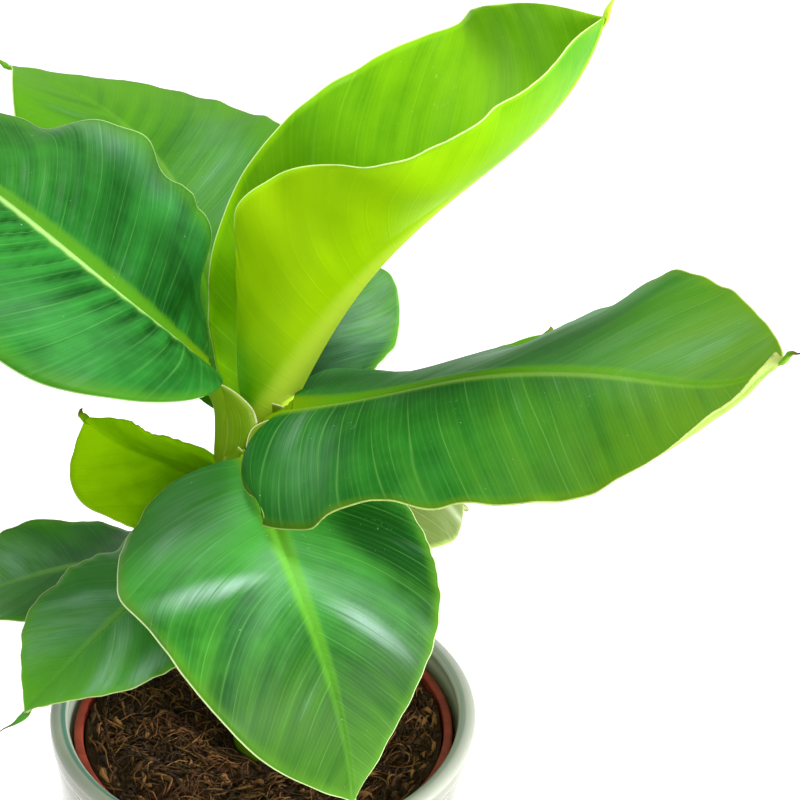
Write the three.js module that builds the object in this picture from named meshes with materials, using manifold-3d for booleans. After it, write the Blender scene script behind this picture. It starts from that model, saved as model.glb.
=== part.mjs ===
// Young banana plant in a nursery pot that stands in a glazed ceramic pot.
// Millimetres, +Z up. The origin is the middle of the ceramic pot's flat underside,
// +X is to the right and -Y is the front.
import * as THREE from 'three';
import { mergeVertices } from 'three/addons/utils/BufferGeometryUtils.js';
import Module from 'manifold-3d';

const wasm = await Module();
wasm.setup();

// ---------- sizes ----------
const gap = 0.3;                      // clearance where two pieces meet
const roundSteps = 40;                // facets round the pots

const pot = { height: 172, rimRadius: 97, baseRadius: 84, wall: 6, floor: 8, bead: 12, proud: 1.3 };
const nursery = { rimRadius: 86.5, rimTop: 161, lip: 9, lipOut: 2.4, wall: 1.6, baseRadius: 66 };
const soilTop = 148;

const stem = {
  foot: new THREE.Vector3(6, 6, soilTop + gap),
  top: new THREE.Vector3(-7, 2, 308),
  footRadius: 18, topRadius: 14, flare: 2.5, flareHeight: 22,
  shoulder: 3, shoulderDrop: 42, shoulderTurn: 48,
  rings: 18, sides: 24,
};
const leafColour = { young: 0x93c62b, mid: 0x3f9436, old: 0x2c7d3f, dark: 0x2d6a45, olive: 0x7fa32c };

// Each leaf: foot is its height up the stem and out how far from the stem's axis its petiole starts;
// root is how far the petiole reaches back from there into the rolled sheaths.
// heading is the compass way it points, from +X towards +Y. rise is the rib's slope at the stem, at
// the blade's start and on to its tip; turn is how far it swings sideways by the middle and the tip;
// bank rolls it about its rib. neck is the blade's half width at its start, widest moves its broadest
// place, round shapes its two ends and lobe pushes its two basal lobes back. fold is how steeply each
// half leaves the rib, curl how far it bends on to the margin and wave the margin's ripple, as height,
// count and phase. tail is the dry tip's length and the way it bends. Angles are in degrees.
const leaves = {
  young_leaf: {
    colour: leafColour.young, foot: 151, out: 0, root: 6, petiole: 15, heading: 26,
    rise: [57, 64, 60, 48, 46, 77], turn: [-43, -16], bank: [27, -13, -8],
    length: 231, width: 66, neck: 6, widest: 1, round: [0.9, 0.55],
    lobe: { right: -22, left: 3 }, tail: [18, -60, -20], rib: 5.6,
    fold: { right: [77, 40, 14, 39], left: [36, 59, 40, 66] },
    curl: { right: [218, 114, 68, 32], left: [23, 22, -11, -20] },
    wave: { right: [2.9, 3.1, 0.8], left: [5.7, 1.9, 0.2] },
    rows: 16, columns: 4, ribRings: 20,
  },
  right_leaf: {
    colour: leafColour.old, foot: 167, out: 7, root: 9, petiole: 20, heading: -21,
    rise: [81, 18, 26, 17, 16, 54], turn: [-12, -42], bank: [11, -23, -24],
    length: 234, width: 73, neck: 6, widest: 0.75, round: [1.2, 1.7],
    lobe: { right: 34, left: 18 }, tail: [10, -40, 30], rib: 5,
    fold: { right: [5, 8, 2, -7], left: [20, -22, -3, 10] },
    curl: { right: [-90, -11, -17, 10], left: [-43, -13, -2, 0] },
    wave: { right: [4, 3, 0.6], left: [4.1, 2.3, 0.6] },
    rows: 14, columns: 4, ribRings: 18,
  },
  left_leaf: {
    colour: leafColour.old, foot: 173, out: 7, root: 18, petiole: 25, heading: 176,
    rise: [87, 48, 36, 26, 12, -4], turn: [-23, -2], bank: [-8, 4, -8],
    length: 228, width: 68, neck: 6, widest: 0.6, round: [0.75, 1.8],
    lobe: { right: -14, left: -7 }, tail: [10, -20, 0], rib: 5,
    fold: { right: [6, 18, 1, -1], left: [30, 4, 2, 0] },
    curl: { right: [-4, -4, -16, -16], left: [-56, -32, -21, -17] },
    wave: { right: [6.1, 3.6, 0.7], left: [2.6, 2.7, 0.2] },
    rows: 14, columns: 4, ribRings: 18,
  },
  back_left_leaf: {
    colour: leafColour.mid, foot: 132, out: 7, root: 6, petiole: 35, heading: 106,
    rise: [46, 55, 36, 18, 8, 4], turn: [10, 42], bank: [4, 4, -16],
    length: 248, width: 59, neck: 6, widest: 1.05, round: [0.8, 2.4],
    lobe: { right: -8, left: -8 }, tail: [9, 30, 0], rib: 4.6,
    fold: { right: [29, 24, 2, 0], left: [36, 24, 8, 10] },
    curl: { right: [0, 0, 0, 0], left: [0, 0, 0, 0] },
    wave: { right: [1.5, 2.6, 0.1], left: [2.7, 2.2, 0.6] },
    rows: 12, columns: 4, ribRings: 16,
  },
  front_leaf: {
    colour: leafColour.old, foot: 161, out: 7, root: 6, petiole: 11, heading: -81,
    rise: [48, -14, -20, -35, -57, -81], turn: [15, 18], bank: [0, 6, 5],
    length: 159, width: 67, neck: 6, widest: 0.8, round: [0.9, 2.15],
    lobe: { right: 4, left: 14 }, tail: [5, 10, 0], rib: 4.4,
    fold: { right: [-2, 0, 4, 2], left: [-7, -3, -6, -15] },
    curl: { right: [-62, -13, 1, 0], left: [-20, -13, -5, -20] },
    wave: { right: [5, 1.5, 0.4], left: [0.2, 2.8, 0.6] },
    rows: 11, columns: 4, ribRings: 14,
  },
  back_right_leaf: {
    colour: leafColour.dark, foot: 125, out: 7, root: 6, petiole: 41, heading: 72,
    rise: [27, 34, 30, 27, 22, 16], turn: [-10, -15], bank: [5, -1, 5],
    length: 95, width: 34, neck: 5, widest: 0.9, round: [0.75, 0.8],
    lobe: { right: 6, left: 5 }, tail: [4, 0, 0], rib: 3.2,
    fold: { right: [14, 15, 0, 16], left: [6, 6, 7, 7] },
    curl: { right: [-4, -4, -13, -8], left: [-10, -9, -8, -8] },
    wave: { right: [1.3, 2.6, 0.1], left: [1, 2, 0.6] },
    rows: 8, columns: 3, ribRings: 11,
  },
  small_left_leaf: {
    colour: leafColour.olive, foot: 130, out: 7, root: 6, petiole: 14, heading: 162,
    rise: [46, 20, 18, 18, 19, 18], turn: [7, -27], bank: [-3, -7, 6],
    length: 63, width: 41, neck: 5, widest: 0.8, round: [0.75, 1.8],
    lobe: { right: 5, left: 4 }, tail: [5, 30, 0], rib: 3,
    fold: { right: [-12, -7, -14, -15], left: [-22, -21, -26, -42] },
    curl: { right: [-16, -8, -8, -7], left: [-7, -3, 3, -6] },
    wave: { right: [0.6, 2.1, 0.1], left: [1.5, 1.7, 0.6] },
    rows: 8, columns: 3, ribRings: 10,
  },
  low_left_leaf: {
    colour: leafColour.dark, foot: 94, out: 7, root: 6, petiole: 23, heading: 168,
    rise: [36, -12, -14, -23, -29, -29], turn: [0, 0], bank: [-4, 1, 2],
    length: 139, width: 41, neck: 5, widest: 0.8, round: [0.75, 1.85],
    lobe: { right: 6, left: 6 }, tail: [8, -10, 0], rib: 3.4,
    fold: { right: [-2, -6, 18, 14], left: [3, 2, 10, 12] },
    curl: { right: [-18, -16, 1, 1], left: [-12, -10, -4, -1] },
    wave: { right: [2, 3, 0.1], left: [1.1, 3.1, 0.6] },
    rows: 9, columns: 3, ribRings: 12,
  },
  low_front_left_leaf: {
    colour: leafColour.dark, foot: 108, out: 7, root: 6, petiole: 20, heading: -148,
    rise: [37, -7, -21, -30, -34, -34], turn: [3, 3], bank: [-2, -3, -4],
    length: 103, width: 47, neck: 5, widest: 0.8, round: [0.75, 2.25],
    lobe: { right: 8, left: 8 }, tail: [14, 20, -10], rib: 3.4,
    fold: { right: [0, -2, 10, 14], left: [4, 4, 10, 25] },
    curl: { right: [-15, -14, -9, 1], left: [-11, -10, -8, -2] },
    wave: { right: [1.7, 2.9, 0.1], left: [0.9, 3.2, 0.6] },
    rows: 9, columns: 3, ribRings: 12,
  },
  low_right_leaf: {
    colour: leafColour.olive, foot: 123, out: 7, root: 6, petiole: 17, heading: 19,
    rise: [35, 11, -4, -18, -32, -46], turn: [8, 2], bank: [-1, -2, -5],
    length: 88, width: 43, neck: 5, widest: 0.85, round: [0.75, 1.6],
    lobe: { right: 6, left: 6 }, tail: [5, -10, 0], rib: 3.2,
    fold: { right: [-10, -11, -10, -13], left: [2, 3, 4, 5] },
    curl: { right: [-10, -9, -7, -7], left: [-8, -8, -7, -7] },
    wave: { right: [0.8, 2.1, 0.1], left: [1, 2, 0.6] },
    rows: 9, columns: 3, ribRings: 11,
  },
  hidden_right_leaf: {
    colour: leafColour.mid, foot: 132, out: 7, root: 6, petiole: 26, heading: 24,
    rise: [41, 11, 16, 15, 20, 27], turn: [4, 2], bank: [-6, -8, 0],
    length: 122, width: 28, neck: 5, widest: 0.8, round: [0.8, 1.8],
    lobe: { right: 0, left: -4 }, tail: [4, 10, 0], rib: 3.2,
    fold: { right: [-1, -5, 1, 5], left: [-22, -14, -17, -10] },
    curl: { right: [-11, -9, -9, -1], left: [-9, 7, -5, -1] },
    wave: { right: [0.9, 3, 0.1], left: [0.6, 3.2, 0.6] },
    rows: 9, columns: 3, ribRings: 12,
  },
};

// ---------- small helpers ----------
const rad = THREE.MathUtils.degToRad;

// smooth curve through values at evenly spaced stations, t from 0 to 1
function smooth(values, t) {
  const last = values.length - 1;
  const place = THREE.MathUtils.clamp(t, 0, 1) * last;
  const i = Math.min(Math.floor(place), last - 1);
  const f = place - i;
  const b = values[i];
  const c = values[i + 1];
  const a = i > 0 ? values[i - 1] : 2 * b - c;
  const d = i < last - 1 ? values[i + 2] : 2 * c - b;
  return 0.5 * (2 * b + (c - a) * f + (2 * a - 5 * b + 4 * c - d) * f * f
    + (3 * b - a - 3 * c + d) * f * f * f);
}

// closed triangle mesh from points and faces, as a solid with its faces pointing out
function solidFrom(points, faces) {
  const flat = new Float32Array(points.length * 3);
  points.forEach((p, i) => p.toArray(flat, i * 3));
  let volume = 0;
  for (const [a, b, c] of faces) volume += points[a].dot(points[b].clone().cross(points[c]));
  const outward = volume < 0 ? faces.map(([a, b, c]) => [a, c, b]) : faces;
  return new wasm.Manifold(new wasm.Mesh({
    numProp: 3, vertProperties: flat, triVerts: Uint32Array.from(outward.flat()),
  }));
}

function solidFromGeometry(source) {
  const bare = source.clone();
  bare.deleteAttribute('normal');
  bare.deleteAttribute('uv');
  const merged = mergeVertices(bare, 1e-4);
  const place = merged.attributes.position;
  const index = merged.index.array;
  const points = [];
  for (let i = 0; i < place.count; i++) points.push(new THREE.Vector3().fromBufferAttribute(place, i));
  const faces = [];
  for (let i = 0; i < index.length; i += 3) {
    const [a, b, c] = [index[i], index[i + 1], index[i + 2]];
    if (a !== b && b !== c && a !== c) faces.push([a, b, c]);
  }
  return solidFrom(points, faces);
}

function geometryOf(solid) {
  const { vertProperties, triVerts } = solid.getMesh();
  const geometry = new THREE.BufferGeometry();
  geometry.setAttribute('position', new THREE.Float32BufferAttribute(vertProperties, 3));
  geometry.setIndex(new THREE.Uint32BufferAttribute(triVerts, 1));
  geometry.computeVertexNormals();
  return geometry;
}

// a round body about the Z axis from an outline of [radius, height] pairs
function turned(outline) {
  const lathe = new THREE.LatheGeometry(outline.map(([r, z]) => new THREE.Vector2(r, z)), roundSteps);
  lathe.rotateX(Math.PI / 2);
  return solidFromGeometry(lathe);
}

// rings of points joined into a closed tube with an end cap at each end
function skinRings(rings) {
  const n = rings[0].length;
  const points = rings.flat();
  const faces = [];
  for (let i = 0; i < rings.length - 1; i++) {
    for (let j = 0; j < n; j++) {
      const a = i * n + j;
      const b = i * n + (j + 1) % n;
      faces.push([a, b, b + n], [a, b + n, a + n]);
    }
  }
  const middle = (ring) => ring.reduce((s, p) => s.add(p), new THREE.Vector3()).divideScalar(n);
  const first = points.push(middle(rings[0])) - 1;
  const final = points.push(middle(rings[rings.length - 1])) - 1;
  const start = (rings.length - 1) * n;
  for (let j = 0; j < n; j++) {
    faces.push([first, (j + 1) % n, j], [final, start + j, start + (j + 1) % n]);
  }
  return solidFrom(points, faces);
}

// ---------- pots and soil ----------
function potSolid() {
  const { height: h, rimRadius: r, baseRadius: base, wall, floor, bead, proud } = pot;
  const under = h - bead;
  const side = (z) => base + (r - proud - base) * (z - 4) / (under - 4);
  return turned([
    [0, 0], [base - 3, 0], [base - 0.8, 1], [base, 4], [side(60), 60], [side(115), 115],
    [side(under - 2), under - 2], [side(under) + 0.2, under],
    [r - 0.2, under + 2.5], [r, under + 7], [r - 0.9, h - 1.6], [r - 2.6, h],
    [r - wall + 1.6, h], [r - wall + 0.2, h - 1.8], [r - wall - 0.4, h - 5],
    [side(110) - wall, 110], [side(floor + 8) - wall, floor + 8],
    [side(floor) - wall - 7, floor], [0, floor],
  ]);
}

function nurserySolid() {
  const { rimRadius: r, rimTop: top, lip, lipOut, wall, baseRadius: base } = nursery;
  const foot = pot.floor + gap;
  const neck = r - lipOut;
  return turned([
    [0, foot], [base - 2, foot], [base, foot + 2.5], [neck, top - lip], [r, top - lip],
    [r, top - 0.8], [r - 0.8, top], [neck - wall + 0.8, top], [neck - wall, top - 0.8],
    [neck - wall, top - lip], [base - wall, foot + 4], [base - 5, foot + 2], [0, foot + 2],
  ]);
}

function soilSolid() {
  const { rimRadius: r, rimTop: top, lip, lipOut, wall, baseRadius: base } = nursery;
  const foot = pot.floor + gap + 2;
  const wide = r - lipOut - wall - gap;
  const slope = (r - lipOut - base) / (top - lip - (pot.floor + gap + 2.5));
  const edge = wide - slope * (top - lip - soilTop + 2);
  return turned([
    [0, foot + gap], [base - 8, foot + gap], [base - wall - gap - 0.6, foot + 4],
    [edge - 0.4, soilTop - 3], [edge - 2, soilTop], [0, soilTop],
  ]);
}

// ---------- the stem ----------
function stemPoint(above) {
  return stem.foot.clone().setZ(soilTop).lerp(stem.top, above / (stem.top.z - soilTop));
}

// rolled sheaths: each swells towards its own leaf just under the place where that leaf leaves
function stemRadius(z, turn, leaves) {
  const k = (z - soilTop) / (stem.top.z - soilTop);
  let r = stem.footRadius + (stem.topRadius - stem.footRadius) * k;
  r += stem.flare * Math.max(0, 1 - (z - soilTop) / stem.flareHeight) ** 2;
  for (const leaf of leaves) {
    const below = soilTop + leaf.foot + 4 - z;
    if (below < -8 || below > stem.shoulderDrop) continue;
    const rise = below < 0 ? 1 + below / 8 : 1 - below / stem.shoulderDrop;
    const away = Math.abs(THREE.MathUtils.euclideanModulo(turn - leaf.heading + 180, 360) - 180);
    const across = Math.max(0, 1 - away / stem.shoulderTurn);
    r = Math.max(r, stem.footRadius + (stem.topRadius - stem.footRadius) * k
      + stem.shoulder * rise * rise * (3 - 2 * rise) * across * across * (3 - 2 * across));
  }
  return r;
}

function stemSolid(leaves, grow = 0) {
  const rings = [];
  const low = stem.foot.z - (grow > 0 ? 1 : 0);
  const high = stem.top.z - 3;
  for (let i = 0; i <= stem.rings; i++) {
    const z = low + (high - low) * i / stem.rings;
    const centre = stemPoint(z - soilTop);
    rings.push(ringAt(centre, z, (turn) => stemRadius(z, turn, leaves) + grow));
  }
  const crown = stemPoint(stem.top.z - soilTop);
  rings.push(ringAt(crown, stem.top.z - 0.8 + grow, () => stem.topRadius - 1.6 + grow));
  rings.push(ringAt(crown, stem.top.z + grow, () => stem.topRadius - 4 + grow));
  return skinRings(rings);
}

function ringAt(centre, z, radiusAt) {
  const ring = [];
  for (let j = 0; j < stem.sides; j++) {
    const turn = 360 * j / stem.sides;
    const r = radiusAt(turn);
    ring.push(new THREE.Vector3(
      centre.x + r * Math.cos(rad(turn)), centre.y + r * Math.sin(rad(turn)), z,
    ));
  }
  return ring;
}

// ---------- the leaves ----------
// The spine of a leaf: its rib's place and directions, step by step from the stem to the tail's end.
// Distance along the rib is 0 where the blade starts and leaf.length at the blade's tip.
function spineOf(leaf) {
  const [tail, tailRise, tailTurn] = leaf.tail;
  const from = -leaf.petiole - leaf.root - 1;
  const count = 90;
  const step = (leaf.length + tail - from) / count;
  const heading = new THREE.Vector3(Math.cos(rad(leaf.heading)), Math.sin(rad(leaf.heading)), 0);
  const spots = [];
  let previous = null;
  for (let i = 0; i <= count; i++) {
    const s = from + step * i;
    const u = THREE.MathUtils.clamp(s / leaf.length, 0, 1);
    const past = Math.max(0, s - leaf.length) / tail;
    const up = s < 0
      ? leaf.rise[0] + (leaf.rise[1] - leaf.rise[0]) * Math.max(0, 1 + s / leaf.petiole)
      : smooth(leaf.rise.slice(1), u) + tailRise * past;
    const round = leaf.heading + (s < 0 ? 0 : smooth([0, ...leaf.turn], u)) + tailTurn * past;
    const [e, a, b] = [rad(up), rad(round), rad(smooth(leaf.bank, u))];
    const along = new THREE.Vector3(Math.cos(e) * Math.cos(a), Math.cos(e) * Math.sin(a), Math.sin(e));
    const flat = new THREE.Vector3(Math.sin(a), -Math.cos(a), 0);
    const upright = flat.clone().cross(along);
    const across = flat.clone().multiplyScalar(Math.cos(b)).addScaledVector(upright, Math.sin(b));
    const normal = upright.clone().multiplyScalar(Math.cos(b)).addScaledVector(flat, -Math.sin(b));
    const at = previous
      ? previous.at.clone().addScaledVector(previous.along.clone().add(along), step / 2)
      : new THREE.Vector3();
    previous = { s, at, along, across, normal };
    spots.push(previous);
  }
  const spine = { from, step, spots };
  const shift = stemPoint(leaf.foot).addScaledVector(heading, leaf.out).sub(spotAt(spine, -leaf.petiole).at);
  for (const spot of spots) spot.at.add(shift);
  return spine;
}

function spotAt(spine, s) {
  const place = THREE.MathUtils.clamp((s - spine.from) / spine.step, 0, spine.spots.length - 1.001);
  const i = Math.floor(place);
  const f = place - i;
  const spot = {};
  for (const key of ['at', 'along', 'across', 'normal']) {
    spot[key] = spine.spots[i][key].clone().lerp(spine.spots[i + 1][key], f);
  }
  return spot;
}

// a point of the blade: x along the rib, y out from the rib, side 1 for the right half and -1 for the left
function bladePoint(leaf, spine, x, y, side, lift) {
  const name = side > 0 ? 'right' : 'left';
  const u = THREE.MathUtils.clamp(x / leaf.length, 0, 1);
  const fold = rad(smooth(leaf.fold[name], u));
  const bend = rad(smooth(leaf.curl[name], u)) / leaf.width || 1e-5;
  const turn = fold + bend * y;
  const [height, waves, phase] = leaf.wave[name];
  const wave = height * (y / leaf.width) ** 2 * (Math.sin(2 * Math.PI * (waves * u + phase))
    + 0.35 * Math.sin(2 * Math.PI * (2.3 * waves * u + 1.7 * phase)));
  const outward = (Math.sin(turn) - Math.sin(fold)) / bend;
  const upward = (Math.cos(fold) - Math.cos(turn)) / bend;
  const off = wave + lift;
  const { at, across, normal } = spotAt(spine, x);
  return at.clone()
    .addScaledVector(across, side * (outward - off * Math.sin(turn)))
    .addScaledVector(normal, upward + off * Math.cos(turn));
}

// one row of the blade: where a side vein leaves the rib, and where it meets the margin
function veinRow(leaf, q, side) {
  const name = side > 0 ? 'right' : 'left';
  const h = (1 - Math.cos(Math.PI * q)) / 2;
  const power = leaf.round[0] + (leaf.round[1] - leaf.round[0]) * q * q;
  const wide = Math.max(0, Math.sin(Math.PI * q ** leaf.widest)) ** power;
  const lobe = leaf.lobe[name] * Math.sin(Math.PI * Math.min(q / 0.36, 1));
  return {
    ribX: leaf.length * (h - 0.07 * Math.sin(Math.PI * h)),
    marginX: leaf.length * h - lobe,
    marginY: leaf.neck * (1 - q) ** 2 + leaf.width * wide,
  };
}

function bladeSolid(leaf, spine) {
  const { rows, columns } = leaf;
  const half = Math.max(leaf.length / 100, 1.4) / 2;
  const wide = 2 * columns + 1;
  const points = [];
  const faces = [];
  for (const lift of [half, -half]) {
    for (let i = 0; i < rows; i++) {
      const q = 0.955 * i / (rows - 1);
      for (let j = 0; j < wide; j++) {
        const side = j < columns ? 1 : -1;
        const t = Math.abs(columns - j) / columns;
        const row = veinRow(leaf, q, side);
        const x = row.ribX + (row.marginX - row.ribX) * t ** 1.6;
        points.push(bladePoint(leaf, spine, x, row.marginY * t, side, t > 0 ? lift : lift * 0.7));
      }
    }
  }
  const tip = points.push(bladePoint(leaf, spine, leaf.length, 0, 1, 0)) - 1;
  const under = rows * wide;
  for (let i = 0; i < rows - 1; i++) {
    for (let j = 0; j < wide - 1; j++) {
      const a = i * wide + j;
      faces.push([a, a + wide, a + wide + 1], [a, a + wide + 1, a + 1]);
      const b = under + a;
      faces.push([b, b + wide + 1, b + wide], [b, b + 1, b + wide + 1]);
    }
    for (const [j, flip] of [[0, false], [wide - 1, true]]) {
      const a = i * wide + j;
      const quad = [[a, under + a, under + a + wide], [a, under + a + wide, a + wide]];
      faces.push(...(flip ? quad.map(([p, q, r]) => [p, r, q]) : quad));
    }
  }
  const end = (rows - 1) * wide;
  for (let j = 0; j < wide - 1; j++) {
    faces.push([j, j + 1, under + j + 1], [j, under + j + 1, under + j]);
    faces.push([end + j, tip, end + j + 1], [under + end + j, under + end + j + 1, tip]);
  }
  faces.push([end, under + end, tip], [end + wide - 1, tip, under + end + wide - 1]);
  return solidFrom(points, faces);
}

// petiole and midrib in one: round below, thick at the stem, thin past the tip
function ribSolid(leaf, spine, grow = 0) {
  const sides = 6;
  const rings = [];
  const from = -leaf.petiole - leaf.root - grow;
  const to = leaf.length + leaf.tail[0];
  const count = leaf.ribRings;
  for (let i = 0; i <= count; i++) {
    const s = from + (to - from) * i / count;
    const { at, along, across, normal } = spotAt(spine, s);
    const u = THREE.MathUtils.clamp(s / leaf.length, 0, 1);
    const past = Math.max(0, s - leaf.length) / leaf.tail[0];
    const bare = (leaf.rib + (0.9 - leaf.rib) * u ** 0.7) * (1 - 0.45 * past);
    const sink = 0.3 * bare;
    const r = bare + grow;
    const ring = [];
    for (let j = 0; j < sides; j++) {
      const turn = 2 * Math.PI * (j + 0.5) / sides;
      ring.push(at.clone()
        .addScaledVector(across, r * Math.cos(turn))
        .addScaledVector(normal, r * 0.9 * Math.sin(turn) - sink));
    }
    rings.push(ring);
  }
  return skinRings(rings);
}

function leafSolid(leaf, spine, taken) {
  const whole = bladeSolid(leaf, spine).add(ribSolid(leaf, spine)).subtract(taken);
  return whole.decompose().sort((a, b) => b.volume() - a.volume())[0];
}

// ---------- the plant ----------
const banana = new THREE.Group();
banana.name = 'banana_plant';

function addPiece(name, solid, color, roughness) {
  const material = new THREE.MeshStandardMaterial({ color, roughness, metalness: 0 });
  const piece = new THREE.Mesh(geometryOf(solid), material);
  piece.name = name;
  banana.add(piece);
}

const allLeaves = Object.values(leaves);
addPiece('ceramic_pot', potSolid(), 0xbcc4b8, 0.25);
addPiece('nursery_pot', nurserySolid(), 0xb4553a, 0.6);
addPiece('soil', soilSolid(), 0x4a3324, 0.95);
addPiece('stem', stemSolid(allLeaves), 0x9db63c, 0.5);

// from the youngest leaf outwards, each keeps clear of the stem and of the ribs already in place
let taken = stemSolid(allLeaves, gap);
for (const [name, leaf] of Object.entries(leaves)) {
  const spine = spineOf(leaf);
  addPiece(name, leafSolid(leaf, spine, taken), leaf.colour, 0.45);
  taken = taken.add(ribSolid(leaf, spine, gap));
}

export default banana;
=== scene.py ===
# Young banana plant in a nursery pot, set in a glazed pot. Built in millimetres, stored in Blender's metres.
import math

import bpy
import numpy as np
from mathutils import Matrix, Vector


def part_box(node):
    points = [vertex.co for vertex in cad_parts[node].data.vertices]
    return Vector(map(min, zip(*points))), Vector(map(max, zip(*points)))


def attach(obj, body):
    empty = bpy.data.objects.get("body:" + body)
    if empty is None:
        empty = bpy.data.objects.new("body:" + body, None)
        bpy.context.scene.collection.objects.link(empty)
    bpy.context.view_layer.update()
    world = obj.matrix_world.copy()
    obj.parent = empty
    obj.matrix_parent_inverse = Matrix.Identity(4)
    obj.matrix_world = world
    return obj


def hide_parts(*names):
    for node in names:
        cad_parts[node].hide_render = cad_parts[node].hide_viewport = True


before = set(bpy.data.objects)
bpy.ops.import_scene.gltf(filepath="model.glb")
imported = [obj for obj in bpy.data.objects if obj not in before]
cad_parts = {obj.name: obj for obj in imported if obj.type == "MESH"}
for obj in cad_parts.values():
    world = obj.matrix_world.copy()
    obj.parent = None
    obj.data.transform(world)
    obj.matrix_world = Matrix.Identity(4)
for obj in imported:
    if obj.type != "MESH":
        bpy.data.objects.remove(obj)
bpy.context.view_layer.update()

mm = 0.001
scene = bpy.context.scene
scene.view_settings.view_transform = "Standard"


# small helpers for nodes
def tint(red, green, blue):  # display colour, 0 to 255, to a scene colour
    def linear(value):
        value /= 255.0
        return value / 12.92 if value <= 0.04045 else ((value + 0.055) / 1.055) ** 2.4
    return (linear(red), linear(green), linear(blue), 1.0)


class NodeSheet:  # a node tree, with short ways to add to it
    def __init__(self, tree):
        self.tree = tree

    def add(self, kind, inputs=None, **settings):
        made = self.tree.nodes.new(kind)
        for key, value in settings.items():
            setattr(made, key, value)
        for key, value in (inputs or {}).items():
            if isinstance(value, bpy.types.NodeSocket):
                self.link(value, made.inputs[key])
            else:
                made.inputs[key].default_value = value
        return made

    def link(self, value, socket):
        self.tree.links.new(value, socket)

    def math(self, operation, first, second=0.0, third=0.0, clamp=False):
        return self.add("ShaderNodeMath", {0: first, 1: second, 2: third}, operation=operation,
                        use_clamp=clamp).outputs[0]

    def times(self, first, second, clamp=False):
        return self.math("MULTIPLY", first, second, clamp=clamp)

    def scaleAdd(self, first, second, third):  # first times second, plus third
        return self.math("MULTIPLY_ADD", first, second, third)

    def ramp(self, value, low, high, toLow=0.0, toHigh=1.0):  # smooth step from low to high
        return self.add("ShaderNodeMapRange", {"Value": value, "From Min": low, "From Max": high,
                                               "To Min": toLow, "To Max": toHigh},
                        interpolation_type="SMOOTHSTEP").outputs[0]

    def band(self, value, start, full, fade, end):  # 1 between full and fade, 0 before start and after end
        return self.times(self.ramp(value, start, full), self.ramp(value, fade, end, 1.0, 0.0))

    def blend(self, amount, first, second):
        return self.add("ShaderNodeMix", {0: amount, 6: first, 7: second}, data_type="RGBA").outputs[2]

    def noise(self, place, scale, detail=2.0, roughness=0.5):
        return self.add("ShaderNodeTexNoise", {"Vector": place, "Scale": scale, "Detail": detail,
                                               "Roughness": roughness}).outputs["Fac"]

    def spot(self, x, y=0.0, z=0.0):
        return self.add("ShaderNodeCombineXYZ", {0: x, 1: y, 2: z}).outputs[0]

    def stored(self, name):  # a number stored on the mesh
        return self.add("ShaderNodeAttribute", attribute_name=name).outputs["Fac"]

    def place(self):  # the point in the object's own metres
        return self.add("ShaderNodeTexCoord").outputs["Object"]

    def bump(self, shader, height, distance, strength=1.0):
        made = self.add("ShaderNodeBump", {"Height": height, "Distance": distance, "Strength": strength})
        self.link(made.outputs["Normal"], shader.inputs["Normal"])


def startGroup(name, inputs, outputs):  # each socket as a name and a kind
    group = bpy.data.node_groups.new(name, "ShaderNodeTree")
    for way, sockets in (("INPUT", inputs), ("OUTPUT", outputs)):
        for label, kind in sockets:
            group.interface.new_socket(label, in_out=way, socket_type="NodeSocket" + kind)
    nodes = NodeSheet(group)
    return nodes, nodes.add("NodeGroupInput").outputs, nodes.add("NodeGroupOutput").inputs


def startMaterial(name, **values):
    material = bpy.data.materials.new(name)
    material.use_nodes = True
    shader = material.node_tree.nodes["Principled BSDF"]
    for label, value in values.items():
        shader.inputs[label.replace("_", " ")].default_value = value
    return material, NodeSheet(material.node_tree), shader


# camera and lights
cameraView = {  # metres, degrees, and the lens in millimetres
    "place": (0.0, -0.730, 0.742), "turn": 4.41, "down": 29.32, "roll": 2.36, "lens": 90.0,
}
softboxes = [  # where each lamp stands and what it faces in metres, its width, watts and colour
    {"name": "windowLight", "place": (-0.3, 0.05, 1.85), "aim": (0, 0, 0.3), "width": 0.6, "watts": 24.0,
     "tint": (1.0, 0.99, 0.97)},
    {"name": "sideLight", "place": (1.2, -0.5, 0.6), "aim": (0, 0, 0.2), "width": 0.6, "watts": 25.0,
     "tint": (0.98, 0.99, 1.0)},
    {"name": "frontLight", "place": (0.2, -1.5, 1.1), "aim": (0, 0, 0.35), "width": 1.2, "watts": 7.0,
     "tint": (1.0, 1.0, 0.98)},
]
skyStrength = 0.6


def setCamera(view):
    turn, down, roll = (math.radians(view[key]) for key in ("turn", "down", "roll"))
    ahead = Vector((math.sin(turn) * math.cos(down), math.cos(turn) * math.cos(down), -math.sin(down)))
    right = ahead.cross(Vector((0, 0, 1))).normalized()
    up = right.cross(ahead)
    right, up = right * math.cos(roll) + up * math.sin(roll), up * math.cos(roll) - right * math.sin(roll)
    data = bpy.data.cameras.new("viewCamera")
    data.lens = view["lens"]
    data.sensor_width = 36.0
    camera = bpy.data.objects.new("viewCamera", data)
    facing = Matrix((right, up, -ahead)).transposed().to_4x4()
    camera.matrix_world = Matrix.Translation(view["place"]) @ facing
    scene.collection.objects.link(camera)
    scene.camera = camera


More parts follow.
